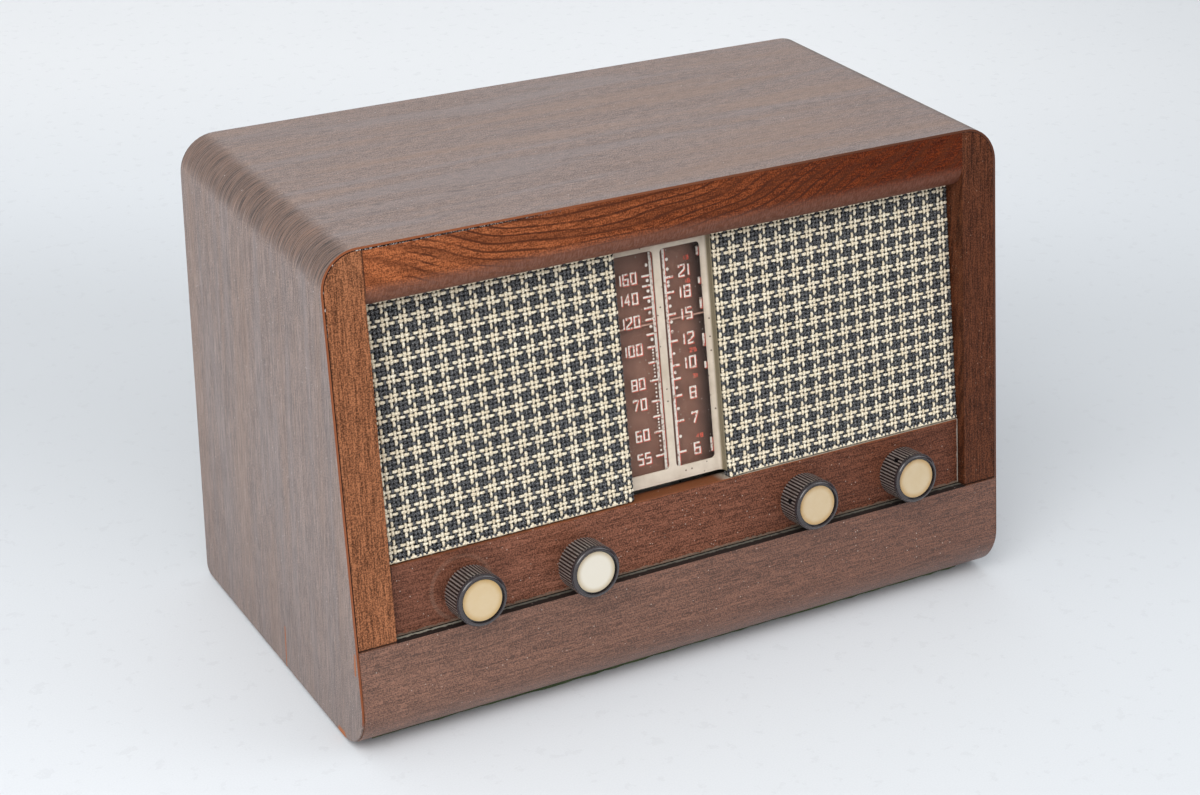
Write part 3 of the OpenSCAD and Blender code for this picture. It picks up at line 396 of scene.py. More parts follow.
class Finish(Pattern):
    """A material whose colour and roughness can still be added to."""

    def __init__(self, name):
        self.made = bpy.data.materials.new(name)
        self.made.use_nodes = True
        super().__init__(self.made.node_tree)
        self.shader = self.tree.nodes["Principled BSDF"]
        self.where = self.put("TexCoord")["Object"]
        self.colour, self.rough = None, 0.5

    def own(self, **values):
        """Write values on the shader itself."""
        for key, value in values.items():
            self.fill(self.shader.inputs[key.replace("_", " ")], value)

    def patches(self, scale, contrast):
        return self.use(patch_group, Scale=scale, Contrast=contrast)["Value"]

    def specks(self, scale, amount):
        return self.use(speck_group, Scale=scale, Amount=amount)["Mask"]

    def from_arch(self):
        return self.use(arch_group)["Distance"]

    def band(self, axis, place, width, ragged=0.5, scale=300.0):
        """A ragged line beside the plane through a place, square to the axis."""
        return self.use(band_group, Normal=axis, Offset=level(axis, place), Width=width, Ragged=ragged,
                        Noise_Scale=scale)["Mask"]

    def past(self, axis, place, soft):
        """1 beyond the plane through a place, with a soft edge."""
        middle = level(axis, place)
        return self.step(self.along(axis), middle - soft, middle + soft)

    def mottle(self, scale, contrast, low, high):
        """Start with two tones in patches, and give the patches."""
        patch = self.patches(scale, contrast)
        self.colour = self.blend(patch, low, high)
        return patch

    def lay(self, colour, *masks, rougher=0.0):
        """Lay a colour over the finish where the masks, multiplied together, are 1."""
        mask = self.times(*masks)
        self.colour = self.blend(mask, self.colour, colour)
        if rougher:
            self.rough = self.calc("ADD", self.rough, self.times(mask, rougher), clamp=True)

    def seal(self, rough=None, height=None, bump=0.0002, strength=1.0):
        """Join the colour, roughness and height to the shader, and give the material."""
        if self.colour is not None:
            self.own(Base_Color=self.colour)
        if rough is not None:
            self.own(Roughness=rough)
        if height is not None:
            self.own(Normal=self.put("Bump", {"Height": height, "Distance": bump, "Strength": strength})[0])
        return self.made


def dress(finish, *names):
    """Give CAD parts a material."""
    for name in names:
        nodes[name].data.materials.clear()
        nodes[name].data.materials.append(finish)


print("finish words", [word for word in vars(Finish) if not word.startswith("_")])

# %% [markdown]
# ## The paper's colour
# The paper is a little bluish and slightly uneven, with a few small marks. Its colour also holds painted
# light: it is painted paler far behind the set, where more light reaches it, and painted shade makes it
# greyer close around the set and off to the right.

# %% Paper
paper = Finish("white paper")
deep = paper.along((0.498, 0.867, 0.0))
rightward = paper.along((0.867, -0.498, 0.0))
paper_shade_grey = (0.53, 0.545, 0.565)
# Painted light far behind the set, and painted shade round the set and to the right of it.
paper.colour = paper.blend(paper.step(deep, 0.5, 1.0), (0.725, 0.744, 0.770), (0.835, 0.838, 0.850))
paper.lay(paper_shade_grey, paper.near(deep, 0.29, 0.36, 0.04), 0.62)
paper.lay(paper_shade_grey, paper.step(rightward, 0.10, 0.75), 0.50)
paper.lay((0.52, 0.54, 0.56), paper.step(paper.noise(1100.0, 2.0), 0.35, 0.7), 0.12)
paper.lay((0.6, 0.62, 0.66), paper.patches(3.0, 0.5), 0.08)
paper.lay((0.45, 0.45, 0.47), paper.step(paper.patches(90.0, 1.6), 0.8, 1.0), 0.12)
sweep.data.materials.append(paper.seal(0.75))
print("paper", len(paper.tree.nodes), "nodes")

# %% [markdown]
# ## One maker for all the wooden finishes
# Every wooden surface has a light and a dark tone of the same wood, pores darker than both, a fine grit
# that keeps it crisp close by, a satin lacquer that is duller where it is worn, and a little relief in the
# pores. Less light reaches the right half of the front, so a wood can also have a painted shade that
# darkens it towards that end. Each part then adds what is its own, such as a dusty seam.

# %% Wood maker
GRIT_SCALE, PORE_DEPTH = 1350.0, 0.00012
RIGHT_SHADE_FROM, RIGHT_SHADE_TO = -0.19, 0.17


class Wood(Finish):
    """A lacquered wood."""

    def __init__(self, name, dark, light, stretch, pore_stretch, pore, fleck, rough, wavy, patches=10.0,
                 right_shade_tint=None, shine=0.4, fleck_tone=None, grit=0.52):
        super().__init__(name)
        grain = self.use(grain_group, Stretch=stretch, Waviness=wavy, Pore_Stretch=pore_stretch)
        self.patch = self.patches(patches, 0.9)
        share = self.calc("ADD", self.times(grain["Figure"], 0.45), self.times(self.patch, 0.3))
        share = self.calc("ADD", share, self.times(grain["Streaks"], 0.25), clamp=True)
        self.colour = self.blend(share, dark, light)
        self.lay(shade(dark, 0.35), grain["Pores"], pore)
        self.lay(fleck_tone or shade(light, 1.5), grain["Flecks"], fleck)
        fine = self.noise(GRIT_SCALE, 1.0)
        self.lay(shade(dark, 0.3), self.step(fine, 0.48, 0.62), grit)
        self.lay(shade(light, 1.5), self.step(fine, 0.50, 0.36), grit * 0.7)
        # Painted shade: the wood darkens towards the right, where less light falls.
        if right_shade_tint:
            rightward = self.step(self.coordinate("X"), RIGHT_SHADE_FROM, RIGHT_SHADE_TO)
            self.colour = self.blend(rightward, self.colour, right_shade_tint, "MULTIPLY")
        self.rough = self.calc("ADD", rough[0], self.times(self.patch, rough[1] - rough[0]))
        self.height = grain["Height"]
        self.own(Specular_IOR_Level=shine)

    def cover(self, *names):
        """Finish the wood and give it to CAD parts."""
        dress(self.seal(self.rough, self.height, PORE_DEPTH, 0.6), *names)
        print(self.made.name, "on", names)


# %% [markdown]
# ## The bent cabinet
# Top and sides are one sheet of ply with a walnut veneer, bent over a former, so the grain runs along the
# top and on down the sides. Stretching the noise along both X and Z, and squeezing it along Y, follows that
# bend without a seam. Slow runs of browner and greyer tone cross it. Bending has opened fine dark checks in
# the veneer at the corners, and the colour is darker along the bends.

# %% Cabinet veneer: tone, bend and sides
veneer = Wood("walnut veneer of the cabinet", (0.196, 0.138, 0.118), (0.302, 0.228, 0.203), (5.0, 150.0, 5.0),
              (170.0, 800.0, 170.0), pore=0.32, fleck=0.32, rough=(0.36, 0.50), wavy=0.3, patches=7.0,
              fleck_tone=(0.400, 0.270, 0.205), grit=0.46)
tone_runs = veneer.noise((4.5, 62.0, 4.5), 3.0, twist=0.5)
veneer.lay((0.300, 0.190, 0.135), veneer.step(tone_runs, 0.50, 0.66), 0.34)
veneer.lay((0.245, 0.212, 0.212), veneer.step(tone_runs, 0.50, 0.36), 0.34)
veneer.lay((0.080, 0.066, 0.064), veneer.near(tone_runs, 0.44, 0.006, 0.001), 0.40)
normal = veneer.put("SeparateXYZ", {0: veneer.put("NewGeometry")["Normal"]})
bend = veneer.step(veneer.calc("ABSOLUTE", veneer.times(normal["X"], normal["Z"])), 0.06, 0.42)
veneer.lay((0.140, 0.087, 0.066), bend, 0.8)
checks = veneer.noise((45.0, 2100.0, 45.0), 2.0)
veneer.lay((0.022, 0.015, 0.013), bend, veneer.step(checks, 0.52, 0.57), 0.8)
veneer.lay((0.30, 0.165, 0.110), bend, veneer.step(checks, 0.46, 0.38), 0.55)
veneer.lay((0.60, 0.54, 0.50), veneer.specks(650.0, 0.008), 0.6)
side_face = veneer.step(veneer.calc("ABSOLUTE", normal["X"]), 0.8, 0.97)
side_runs = veneer.noise((40.0, 760.0, 40.0), 3.0)
veneer.lay((0.120, 0.082, 0.070), side_face, veneer.step(side_runs, 0.52, 0.62), 0.34)
veneer.lay((0.440, 0.330, 0.290), side_face, veneer.step(side_runs, 0.45, 0.36), 0.30)
height = veneer.coordinate("Z")
# The sides are darker towards their foot.
veneer.lay((0.120, 0.084, 0.075), side_face, veneer.step(height, 0.13, 0.0), 0.30)
print("veneer so far", len(veneer.tree.nodes), "nodes")

# %% [markdown]
# The left side has four short splits near its foot, where bare wood shows orange. The outer veneer also
# covers the ends of the front frame, and its bare edge shows there as a thin orange line. The edge at the
# back shows the layers of the ply. The masks for both edges read the surface's own direction.

# %% Cabinet veneer: splits and edges
# For each split: its place in Y, its foot and top in Z, and its width
SPLITS = ((-0.0071, -0.001, 0.027, 0.0007), (-0.1015, 0.048, 0.061, 0.0011),
          (-0.0820, -0.001, 0.0045, 0.006), (-0.0210, -0.001, 0.0016, 0.004))
PLY_PAIR, SPLIT_END = 0.0026, 0.001
left_face = veneer.step(veneer.facing(LEFT), 0.5, 0.9)
for y, foot, top, width in SPLITS:
    split = veneer.band(BACK, y, width, 0.4, 160.0)
    from_foot = veneer.step(height, foot, foot + SPLIT_END)
    to_top = veneer.step(height, top + SPLIT_END, top)
    veneer.lay((0.40, 0.130, 0.045), split, from_foot, to_top, left_face, rougher=0.3)
front_edge = veneer.step(veneer.facing(-front_in), 0.9, 0.97)
veneer.lay((0.26, 0.075, 0.025), front_edge)
# Painted shade: the edge is darker over the right half, where less light falls.
veneer.lay((0.030, 0.010, 0.006), front_edge, veneer.past(RIGHT, 0.0, 0.15), 0.7)
back_edge = veneer.step(veneer.facing(BACK), 0.9, 0.97)
veneer.lay((0.33, 0.215, 0.125), back_edge, rougher=0.2)
layers = veneer.calc("SINE", veneer.times(veneer.from_arch(), 2 * math.pi / PLY_PAIR))
veneer.lay((0.17, 0.095, 0.052), back_edge, veneer.step(layers, 0.0, 0.35), rougher=0.2)
veneer.cover("cabinet_wrap")

# %% [markdown]
# ## The front frame
# The stiles and the rail are solid walnut, redder than the veneer. Along the left end, where the frame has
# shrunk away from the veneer, a black crack with flecks of white glue follows the arch.

# %% Stiles
CRACK_BLACK = (0.006, 0.004, 0.004)
STILES = {"left": ((0.165, 0.056, 0.024), (0.365, 0.142, 0.064)),
          "right": ((0.052, 0.014, 0.006), (0.130, 0.042, 0.019))}
for side, (dark, light) in STILES.items():
    stile = Wood(side + " stile wood", dark, light, (330.0, 60.0, 7.0), (1350.0, 300.0, 58.0), pore=0.62,
                 fleck=0.30, rough=(0.36, 0.5), wavy=0.35, patches=16.0, shine=0.12)
    crack = stile.step(stile.from_arch(), -0.0019, -0.0016)
    stile.lay(CRACK_BLACK, crack, 1.0 if side == "left" else 0.55, rougher=0.3)
    if side == "left":
        glue = stile.step(stile.patches(520.0, 1.5), 0.66, 0.82)
        upper = stile.past(front_up, front_point(0, 0, 236), 0.012)
        stile.lay((0.50, 0.47, 0.44), crack, upper, glue, rougher=0.3)
    else:
        stile.lay((0.36, 0.22, 0.16), stile.specks(700.0, 0.03), 0.5)
    stile.lay((0.008, 0.006, 0.005), stile.band(front_up, front_point(0, 0, 61.9), 0.0005), rougher=0.2)
    stile.cover(side + "_stile")

# %% [markdown]
# The rail was cut from a figured board: fine dark lines cross it in flat arches. Rings of a sine wave over
# a distance that falls off to both sides give such arches, and slow noise makes them wander.

# %% Rail: figure
APEX_X, ARCHING, RINGS_PER_M, WANDER = -0.045, 1.45, 1650.0, 23.0
rail = Wood("figured rail wood", (0.200, 0.044, 0.011), (0.440, 0.140, 0.053), (9.0, 90.0, 150.0),
            (130.0, 1200.0, 1450.0), pore=0.45, fleck=0.26, rough=(0.34, 0.46), wavy=0.9,
            right_shade_tint=(0.345, 0.205, 0.130), shine=0.12)
from_apex = rail.calc("ADD", rail.coordinate("X"), -APEX_X)
arched = rail.calc("SUBTRACT", rail.along(front_up), rail.times(from_apex, from_apex, ARCHING))
swirl = rail.noise((12.0, 20.0, 40.0), 1.0)
phase = rail.calc("ADD", rail.times(arched, RINGS_PER_M), rail.times(swirl, WANDER))
strong = rail.step(rail.patches(14.0, 1.6), 0.15, 0.7)
rail.lay((0.050, 0.013, 0.006), rail.step(rail.calc("SINE", phase), 0.45, 0.97), strong, 0.85)
slow_rings = rail.step(rail.calc("SINE", rail.times(phase, 0.37)), -0.2, 0.9)
rail.lay((0.085, 0.022, 0.008), slow_rings, 0.42)
print("rail so far", len(rail.tree.nodes), "nodes")

# %% [markdown]
# The rail's rounded lower edge is paler in fine lines across the grain, darkened towards the right by
# painted shade, and its underside is painted dark as shadow. The crack goes on over its left end, and a fine
# dark line marks the joint with the left stile.

# %% Rail: lower edge and crack
nose = rail.past(-front_up, front_point(0, 0, 248.2), 0.0036)
underside_shadow = rail.past(front_in, front_point(0, 9.2, 240), 0.0012)
hatch = rail.step(rail.noise((1300.0, 300.0, 300.0), 2.0), 0.4, 0.62)
nose_tone_with_shade = rail.blend(hatch, (0.165, 0.066, 0.042), (0.235, 0.112, 0.080))
# Painted shade darkens the pale lower edge towards the right.
nose_tone_with_shade = rail.blend(rail.past(RIGHT, 0.06, 0.17), nose_tone_with_shade, (0.80, 0.70, 0.66), "MULTIPLY")
rail.lay(nose_tone_with_shade, nose, rail.calc("SUBTRACT", 1.0, underside_shadow), 0.8)
rail.rough = rail.calc("ADD", rail.rough, rail.times(nose, 0.12))
# Painted shadow on the rail's underside.
rail.lay((0.085, 0.026, 0.012), underside_shadow, 0.7)
crack = rail.times(rail.step(rail.from_arch(), -0.0022, -0.0018), rail.past(LEFT, 0.085, 0.03))
rail.lay(CRACK_BLACK, crack, rougher=0.3)
rail.lay((0.33, 0.31, 0.30), crack, rail.step(rail.patches(1150.0, 1.6), 0.66, 0.80), rougher=0.3)
rail.lay((0.020, 0.010, 0.008), rail.band(RIGHT, -0.18005, 0.0007, 0.3), 0.8)
rail.cover("top_rail")

# %% [markdown]
# ## The control board and the plinth
# Both are stained dark. The board's upper arris is rubbed to orange, and dust lies on it to the right. The
# end of the board beside the right stile carries a pale line of dust, and the knob at the left has worn a
# faint ring round itself.

# %% Control board
board = Wood("control board wood", (0.150, 0.054, 0.031), (0.345, 0.140, 0.086), (7.0, 90.0, 210.0),
             (85.0, 1100.0, 1450.0), pore=0.50, fleck=0.28, rough=(0.34, 0.46), wavy=0.5,
             right_shade_tint=(0.47, 0.405, 0.375), shine=0.14)
board.lay((0.230, 0.070, 0.026), board.band(front_up, front_point(0, 0, 101.0), 0.0009, 0.4), 0.7)
# The board is darker at its left end, round the volume knob.
board.lay((0.060, 0.020, 0.013), board.past(LEFT, 0.105, 0.05), 0.42)
ledge = board.step(board.facing(front_up), 0.7, 0.9)
board.lay((0.175, 0.060, 0.024), ledge, 0.8, rougher=0.2)
board.lay((0.44, 0.40, 0.33), ledge, board.past(RIGHT, 0.022, 0.004), 0.8, rougher=0.3)
board.lay((0.42, 0.37, 0.32), board.band(RIGHT, 0.1794, 0.0007), 0.7, rougher=0.3)
foot_dust = board.band(front_up, front_point(0, 0, 62.3), 0.0012, 0.9)
board.lay((0.20, 0.18, 0.14), foot_dust, 0.5, rougher=0.3)
away = board.vector("DISTANCE", board.where, front_point(-139.2, 5.6, 79.6))
board.lay((0.42, 0.29, 0.22), board.near(away, 0.0172, 0.0016, 0.0006), 0.22, board.patch, rougher=0.2)
# A dark ragged band runs along the board's left end, beside the left stile.
board.lay((0.020, 0.012, 0.010), board.band(RIGHT, -0.1795, 0.0022, 0.6), 0.8)
board.lay((0.55, 0.42, 0.35), board.specks(760.0, 0.03), 0.7, rougher=0.3)
board.cover("control_board")

# %% [markdown]
# Dust has settled on the plinth's narrow ledge in front of the control board, most of it at the left. In
# front of the dust the ledge is black.

# %% Plinth
plinth = Wood("plinth wood", (0.128, 0.056, 0.036), (0.246, 0.119, 0.078), (7.0, 110.0, 240.0),
              (75.0, 1300.0, 1900.0), pore=0.50, fleck=0.36, rough=(0.30, 0.40), wavy=0.4,
              right_shade_tint=(0.77, 0.69, 0.66), shine=0.5)
between = plinth.step(plinth.calc("ABSOLUTE", plinth.coordinate("X")), 0.1806, 0.1800)
ledge = plinth.times(plinth.step(plinth.facing(front_up), 0.7, 0.9), between)
plinth.lay((0.012, 0.008, 0.007), ledge, rougher=0.2)
dust = plinth.band(front_in, front_point(0, 4.9, 61.4), 0.0013, 0.8, 420.0)
heap = plinth.calc("ADD", 0.35, plinth.times(plinth.past(LEFT, 0.125, 0.03), 0.5))
plinth.lay((0.36, 0.335, 0.27), ledge, dust, heap, rougher=0.3)
plinth.lay((0.58, 0.47, 0.40), plinth.specks(760.0, 0.02), 0.7, rougher=0.3)
plinth.cover("plinth_rail")

# %% [markdown]
# The boards that nobody sees are bare ply. The wood maker serves them too, paler and matt, with a wider grain
# and little grit.

# %% Bare plywood
bare_ply = Wood("bare plywood", (0.36, 0.25, 0.15), (0.56, 0.43, 0.28), (12.0, 120.0, 160.0),
                (90.0, 500.0, 600.0), pore=0.3, fleck=0.1, rough=(0.6, 0.75), wavy=0.4, grit=0.15)
bare_ply.cover("bottom_board", "side_cleats", "corner_blocks", "left_grille_board", "right_grille_board",
               "chassis_runners")

# %% [markdown]
# ## The grille cloths
# Each grille is a plain weave of coarse yarn with two cream and two dark threads in turn, both ways, which
# gives the broken checks. A picture of a weave would look flat from the side, so every thread is a real
# tube: warps run up the slope, wefts run across, and each rises over one neighbour and dips under the
# next. The cloth is folded round its board's inner edge, so a thread's path is laid along the folded
# surface. A thin lining behind the threads is painted near black, as the shade behind the weave.

# %% The folded surface of a cloth
CLOTH_LOW, CLOTH_HIGH = 101.97, 237.75
CLOTH_MID, FOLD_R, SIDE_STRIP = 0.30, 1.6, 5.2
CURL, CURL_ACROSS, CURL_UP = 1.5, 13.0, 9.0


class Cloth:
    """The surface of one folded grille cloth, in millimetres from its outer edge."""

    def __init__(self, outer, inner, curl):
        self.sign = 1.0 if inner > outer else -1.0
        self.outer, self.curl = outer, curl
        self.flat = abs(inner - outer) - FOLD_R
        self.arc = (FOLD_R - CLOTH_MID) * math.pi / 2
        self.length = self.flat + self.arc + SIDE_STRIP - FOLD_R

    def at(self, along, out, up_slope):
        """A place in metres. out is the height in front of the cloth's middle surface."""
        radius = FOLD_R - CLOTH_MID + out
        if along < self.flat:
            across, inward = along, CLOTH_MID - out
        elif along < self.flat + self.arc:
            angle = (along - self.flat) / self.arc * math.pi / 2
            across, inward = self.flat + radius * math.sin(angle), FOLD_R - radius * math.cos(angle)
        else:
            across, inward = self.flat + radius, FOLD_R + along - self.flat - self.arc
        if self.curl:
            near_fold = max(0.0, 1.0 - (self.flat + FOLD_R - across) / CURL_ACROSS)
            near_foot = max(0.0, 1.0 - (up_slope - CLOTH_LOW) / CURL_UP)
            inward -= CURL * (near_fold * near_foot) ** 1.5
        return dial_point(self.outer + self.sign * across, inward, up_slope)


left_cloth = Cloth(-179.7, -34.0, False)
right_cloth = Cloth(179.7, 25.5, True)
print("cloth lengths", round(left_cloth.length, 1), round(right_cloth.length, 1), "mm")

# %% [markdown]
# A thread's middle line is a cosine: it stands out where it passes over a neighbour and lies in where it
# passes under. Two places a tenth of a millimetre away on the same surface give the thread's directions.

# %% Path of a thread
PITCH_X, PITCH_V, RISE = 2.456, 2.444, 0.44
FIRST, EDGE_UP, EDGE_OUT, ASIDE = 0.9, 0.55, 0.25, 0.1


def thread_place(cloth, kind, index, t, drift):
    """Middle of a thread, the two directions of its flat section, and how high it stands.

    kind is warp, weft, or edge for the one along the foot, and t counts the neighbours passed."""
    wave = math.cos(math.pi * (t + index)) * RISE
    foot = CLOTH_LOW + FIRST
    if kind == "edge":
        along, up_slope, out = t * PITCH_X, CLOTH_LOW + EDGE_UP, EDGE_OUT
    elif kind == "warp":
        along, up_slope, out = FIRST + index * PITCH_X + drift, foot + t * PITCH_V, wave
    else:
        along, up_slope, out = FIRST + t * PITCH_X, foot + index * PITCH_V + drift, -wave
    along = min(max(along, 0.0), cloth.length)
    middle = cloth.at(along, out, up_slope)
    lift = cloth.at(along, out + ASIDE, up_slope) - middle
    if kind == "warp":
        side = cloth.at(along + ASIDE, out, up_slope) - middle
    else:
        side = cloth.at(along, out, up_slope + ASIDE) - middle
    return middle, side.normalized() * MM, lift.normalized() * MM, out / RISE


print("first warp starts at", thread_place(left_cloth, "warp", 0, 0.0, 0.0)[0])

# %% [markdown]
# A thread is a six-sided tube, a little flattened. Its width swells and shrinks along its length, as hand
# spun yarn does, and it sways by a tenth of a millimetre. Each corner also stores two numbers for the
# material: the thread's own tint, and how high the corner stands above the weave.

# %% Threads
THREAD_W, THREAD_T, SWAY = 1.60, 0.78, 0.10
WARP_SHIFT, WEFT_SHIFT = 3, 2
SIDES, STEPS, SWAY_TURN = 6, 3, 0.34


class Threads:
    """Collects the threads of one cloth."""

    def __init__(self, cloth, seed):
        self.cloth, self.draw = cloth, random.Random(seed)
        self.points, self.faces, self.tints, self.crests, self.yarns = [], [], [], [], []
        self.warps = int((cloth.length - FIRST) / PITCH_X) + 1
        self.wefts = int((CLOTH_HIGH - CLOTH_LOW - 1.0) / PITCH_V) + 1

    def lay(self, kind, index):
        """Add one thread: a short and a long swell change its width."""
        sway = [self.draw.uniform(-SWAY, SWAY) for _ in range(6)]
        fat, phase = self.draw.uniform(0.93, 1.07), self.draw.uniform(0, 6.28)
        tint = self.draw.random()
        count = {"warp": self.wefts * STEPS + 1, "weft": self.warps * STEPS + 1,
                 "edge": int(self.cloth.flat / PITCH_X) * STEPS}[kind]
        first = len(self.points)
        for k in range(count):
            t = k / STEPS - 0.5
            turn = SWAY_TURN * t
            drift = sum(a * math.sin((n + 1) * turn + phase * n) for n, a in enumerate(sway)) * 0.5
            middle, side, lift, height = thread_place(self.cloth, kind, index, t, drift)
            swell = 1.02 + 0.07 * math.sin(k * 2.1 + phase) + 0.10 * math.sin(k * 0.63 + phase * 1.7)
            wide = THREAD_W / 2 * fat * swell
            for s in range(SIDES):
                angle = 2 * math.pi * s / SIDES
                corner = side * (wide * math.cos(angle)) + lift * (THREAD_T / 2 * math.sin(angle))
                self.points.append(middle + corner)
                self.tints.append(tint)
                self.crests.append(0.5 + 0.28 * height + 0.22 * math.sin(angle))
        before = len(self.faces)
        for k in range(count - 1):
            ring = first + k * SIDES
            for s in range(SIDES):
                a, b = ring + s, ring + (s + 1) % SIDES
                self.faces.append((a, b, b + SIDES, a + SIDES))
        self.faces.append(tuple(first + s for s in reversed(range(SIDES))))
        self.faces.append(tuple(first + (count - 1) * SIDES + s for s in range(SIDES)))
        shift = WARP_SHIFT if kind == "warp" else WEFT_SHIFT
        yarn = 0 if kind == "edge" else ((index + shift) // 2) % 2
        self.yarns += [yarn] * (len(self.faces) - before)

    def weave(self, name):
        """All the threads as one mesh with two yarn materials."""
        for index in range(self.warps):
            self.lay("warp", index)
        for index in range(self.wefts):
            self.lay("weft", index)
        self.lay("edge", 0)
        piece = mesh_piece(name, self.points, self.faces)
        for label, values in (("yarn_tint", self.tints), ("yarn_crest", self.crests)):
            piece.data.attributes.new(label, "FLOAT", "POINT").data.foreach_set("value", values)
        piece.data.polygons.foreach_set("material_index", self.yarns)
        print(name, self.warps, "warps", self.wefts, "wefts", len(self.faces), "faces")
        return piece


left_weave = Threads(left_cloth, 11).weave("left_grille_threads")
right_weave = Threads(right_cloth, 23).weave("right_grille_threads")

# %% [markdown]
# The lining follows the same folded surface, a little behind the threads. It hides the board between them,
# and its rows and stops are fine enough for the fold and no finer. It is painted near black, as the shade
# behind the weave.

# %% Lining
LINING_OUT, LINING_MARGIN = -0.68, 0.2
FLAT_STEPS, ARC_STEPS, LINING_ROWS = 12, 5, 12


def lining(name, cloth):
    """The thin sheet behind the threads."""
    stops = [cloth.flat * k / FLAT_STEPS for k in range(FLAT_STEPS + 1)]
    stops += [cloth.flat + cloth.arc * k / ARC_STEPS for k in range(1, ARC_STEPS + 1)] + [cloth.length]
    foot, tall = CLOTH_LOW + LINING_MARGIN, CLOTH_HIGH - CLOTH_LOW - 2 * LINING_MARGIN
    rows = [foot + tall * r / LINING_ROWS for r in range(LINING_ROWS + 1)]
    points = [cloth.at(stop, LINING_OUT, up_slope) for up_slope in rows for stop in stops]
    n = len(stops)
    faces = [(r * n + k, r * n + k + 1, (r + 1) * n + k + 1, (r + 1) * n + k)
             for r in range(LINING_ROWS) for k in range(n - 1)]
    return mesh_piece(name, points, faces)


left_lining = lining("left_grille_lining", left_cloth)
right_lining = lining("right_grille_lining", right_cloth)
print("lining", len(left_lining.data.polygons), "faces each")

# %% [markdown]
# ## Yarn
# The yarn is matt and twisted. Each thread is a touch lighter or darker than the next, fine fibres stand
# out of it, and the dips between its crests are dark with shadow and dust.

# %% Yarn


def yarn(name, low, high, fleck, rough):
    """A matt yarn between two tones, with fibres of a third."""
    look = Finish(name)
    tint = look.put("Attribute", attribute_name="yarn_tint")["Fac"]
    crest = look.put("Attribute", attribute_name="yarn_crest")["Fac"]
    fibre = look.noise(1900.0, 2.0, 0.6)
    lumps = look.step(look.noise(420.0, 2.0), 0.35, 0.65)
    share = look.calc("ADD", look.times(tint, 0.35), look.times(lumps, 0.65), clamp=True)
    look.colour = look.blend(share, low, high)
    look.lay(fleck, look.step(fibre, 0.49, 0.55), 0.85)
    look.lay(shade(low, 0.12), look.step(crest, 0.80, 0.40))
    return look.seal(rough, fibre, 0.00025, 0.9)


cream_yarn = yarn("cream yarn", (0.86, 0.745, 0.55), (1.0, 0.93, 0.77), (0.58, 0.46, 0.31), 0.85)
dark_yarn = yarn("charcoal yarn", (0.004, 0.005, 0.008), (0.024, 0.027, 0.035), (0.215, 0.212, 0.212), 0.8)
# Painted shade: the lining is near black, standing in for the shade seen through the weave.
shade_lining = Finish("dark lining")
shade_lining.mottle(60.0, 1.0, (0.003, 0.003, 0.003), (0.008, 0.007, 0.006))
shade_lining.seal(0.9)
for piece, sheet, cloth, name in ((left_weave, left_lining, left_cloth, "left"),
                                  (right_weave, right_lining, right_cloth, "right")):
    piece.data.materials.append(cream_yarn)
    piece.data.materials.append(dark_yarn)
    sheet.data.materials.append(shade_lining.made)
    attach(piece, "cabinet")
    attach(sheet, "cabinet")
    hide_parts(name + "_grille_cloth")

# %% [markdown]
# ## The felt pad
# A sheet of green felt is glued under the base. It is two millimetres thick, and its cut edge is ragged and
# bulges out a little at the left. Two layers of corners make the sheet, and only those on its rim move.

# %% Felt sheet
FELT_ACROSS, FELT_DEEP = 60, 30
FELT_RAGGED, FELT_SUNK = 0.0006, 0.00005
felt_low, felt_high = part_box("felt_pad")
felt_wide, felt_deep = felt_high.x - felt_low.x, felt_high.y - felt_low.y


def felt_bulge(x):
    """How far the front edge of the felt stands out at x, in metres."""
    return 0.0004 + 0.0011 * math.exp(-((x + 0.07) / 0.035) ** 2)


felt_points, felt_faces = [], []
draw = random.Random(5)
for z in (0.0, felt_high.z - FELT_SUNK):
    for j in range(FELT_DEEP + 1):
        for i in range(FELT_ACROSS + 1):
            at_side = i in (0, FELT_ACROSS)
            wobble = draw.uniform(-FELT_RAGGED, FELT_RAGGED) if at_side or j in (0, FELT_DEEP) else 0.0
            x = felt_low.x + felt_wide * i / FELT_ACROSS
            if j == 0:
                wobble -= felt_bulge(x)
            y = felt_low.y + felt_deep * j / FELT_DEEP + wobble
            felt_points.append((x + wobble if at_side else x, y, z))
row = FELT_ACROSS + 1
size = row * (FELT_DEEP + 1)
for j in range(FELT_DEEP):
    for i in range(FELT_ACROSS):
        a = j * row + i
        felt_faces.append((a, a + row, a + row + 1, a + 1))
        felt_faces.append((size + a, size + a + 1, size + a + row + 1, size + a + row))
rim = [i for i in range(FELT_ACROSS)] + [FELT_ACROSS + row * j for j in range(FELT_DEEP)]
rim += [size - 1 - i for i in range(FELT_ACROSS)] + [row * (FELT_DEEP - j) for j in range(FELT_DEEP)]
for a, b in zip(rim, rim[1:] + rim[:1]):
    felt_faces.append((a, b, b + size, a + size))
felt = mesh_piece("felt_sheet", felt_points, felt_faces, smooth=False)
print("felt", len(felt_faces), "faces")

# %% [markdown]
# Felt that has been cut sheds fibres. Each loose one is a spike with three sides and no more, because there
# are thousands of them, and all are drawn from the same seeded numbers, so every run gives the same fuzz.

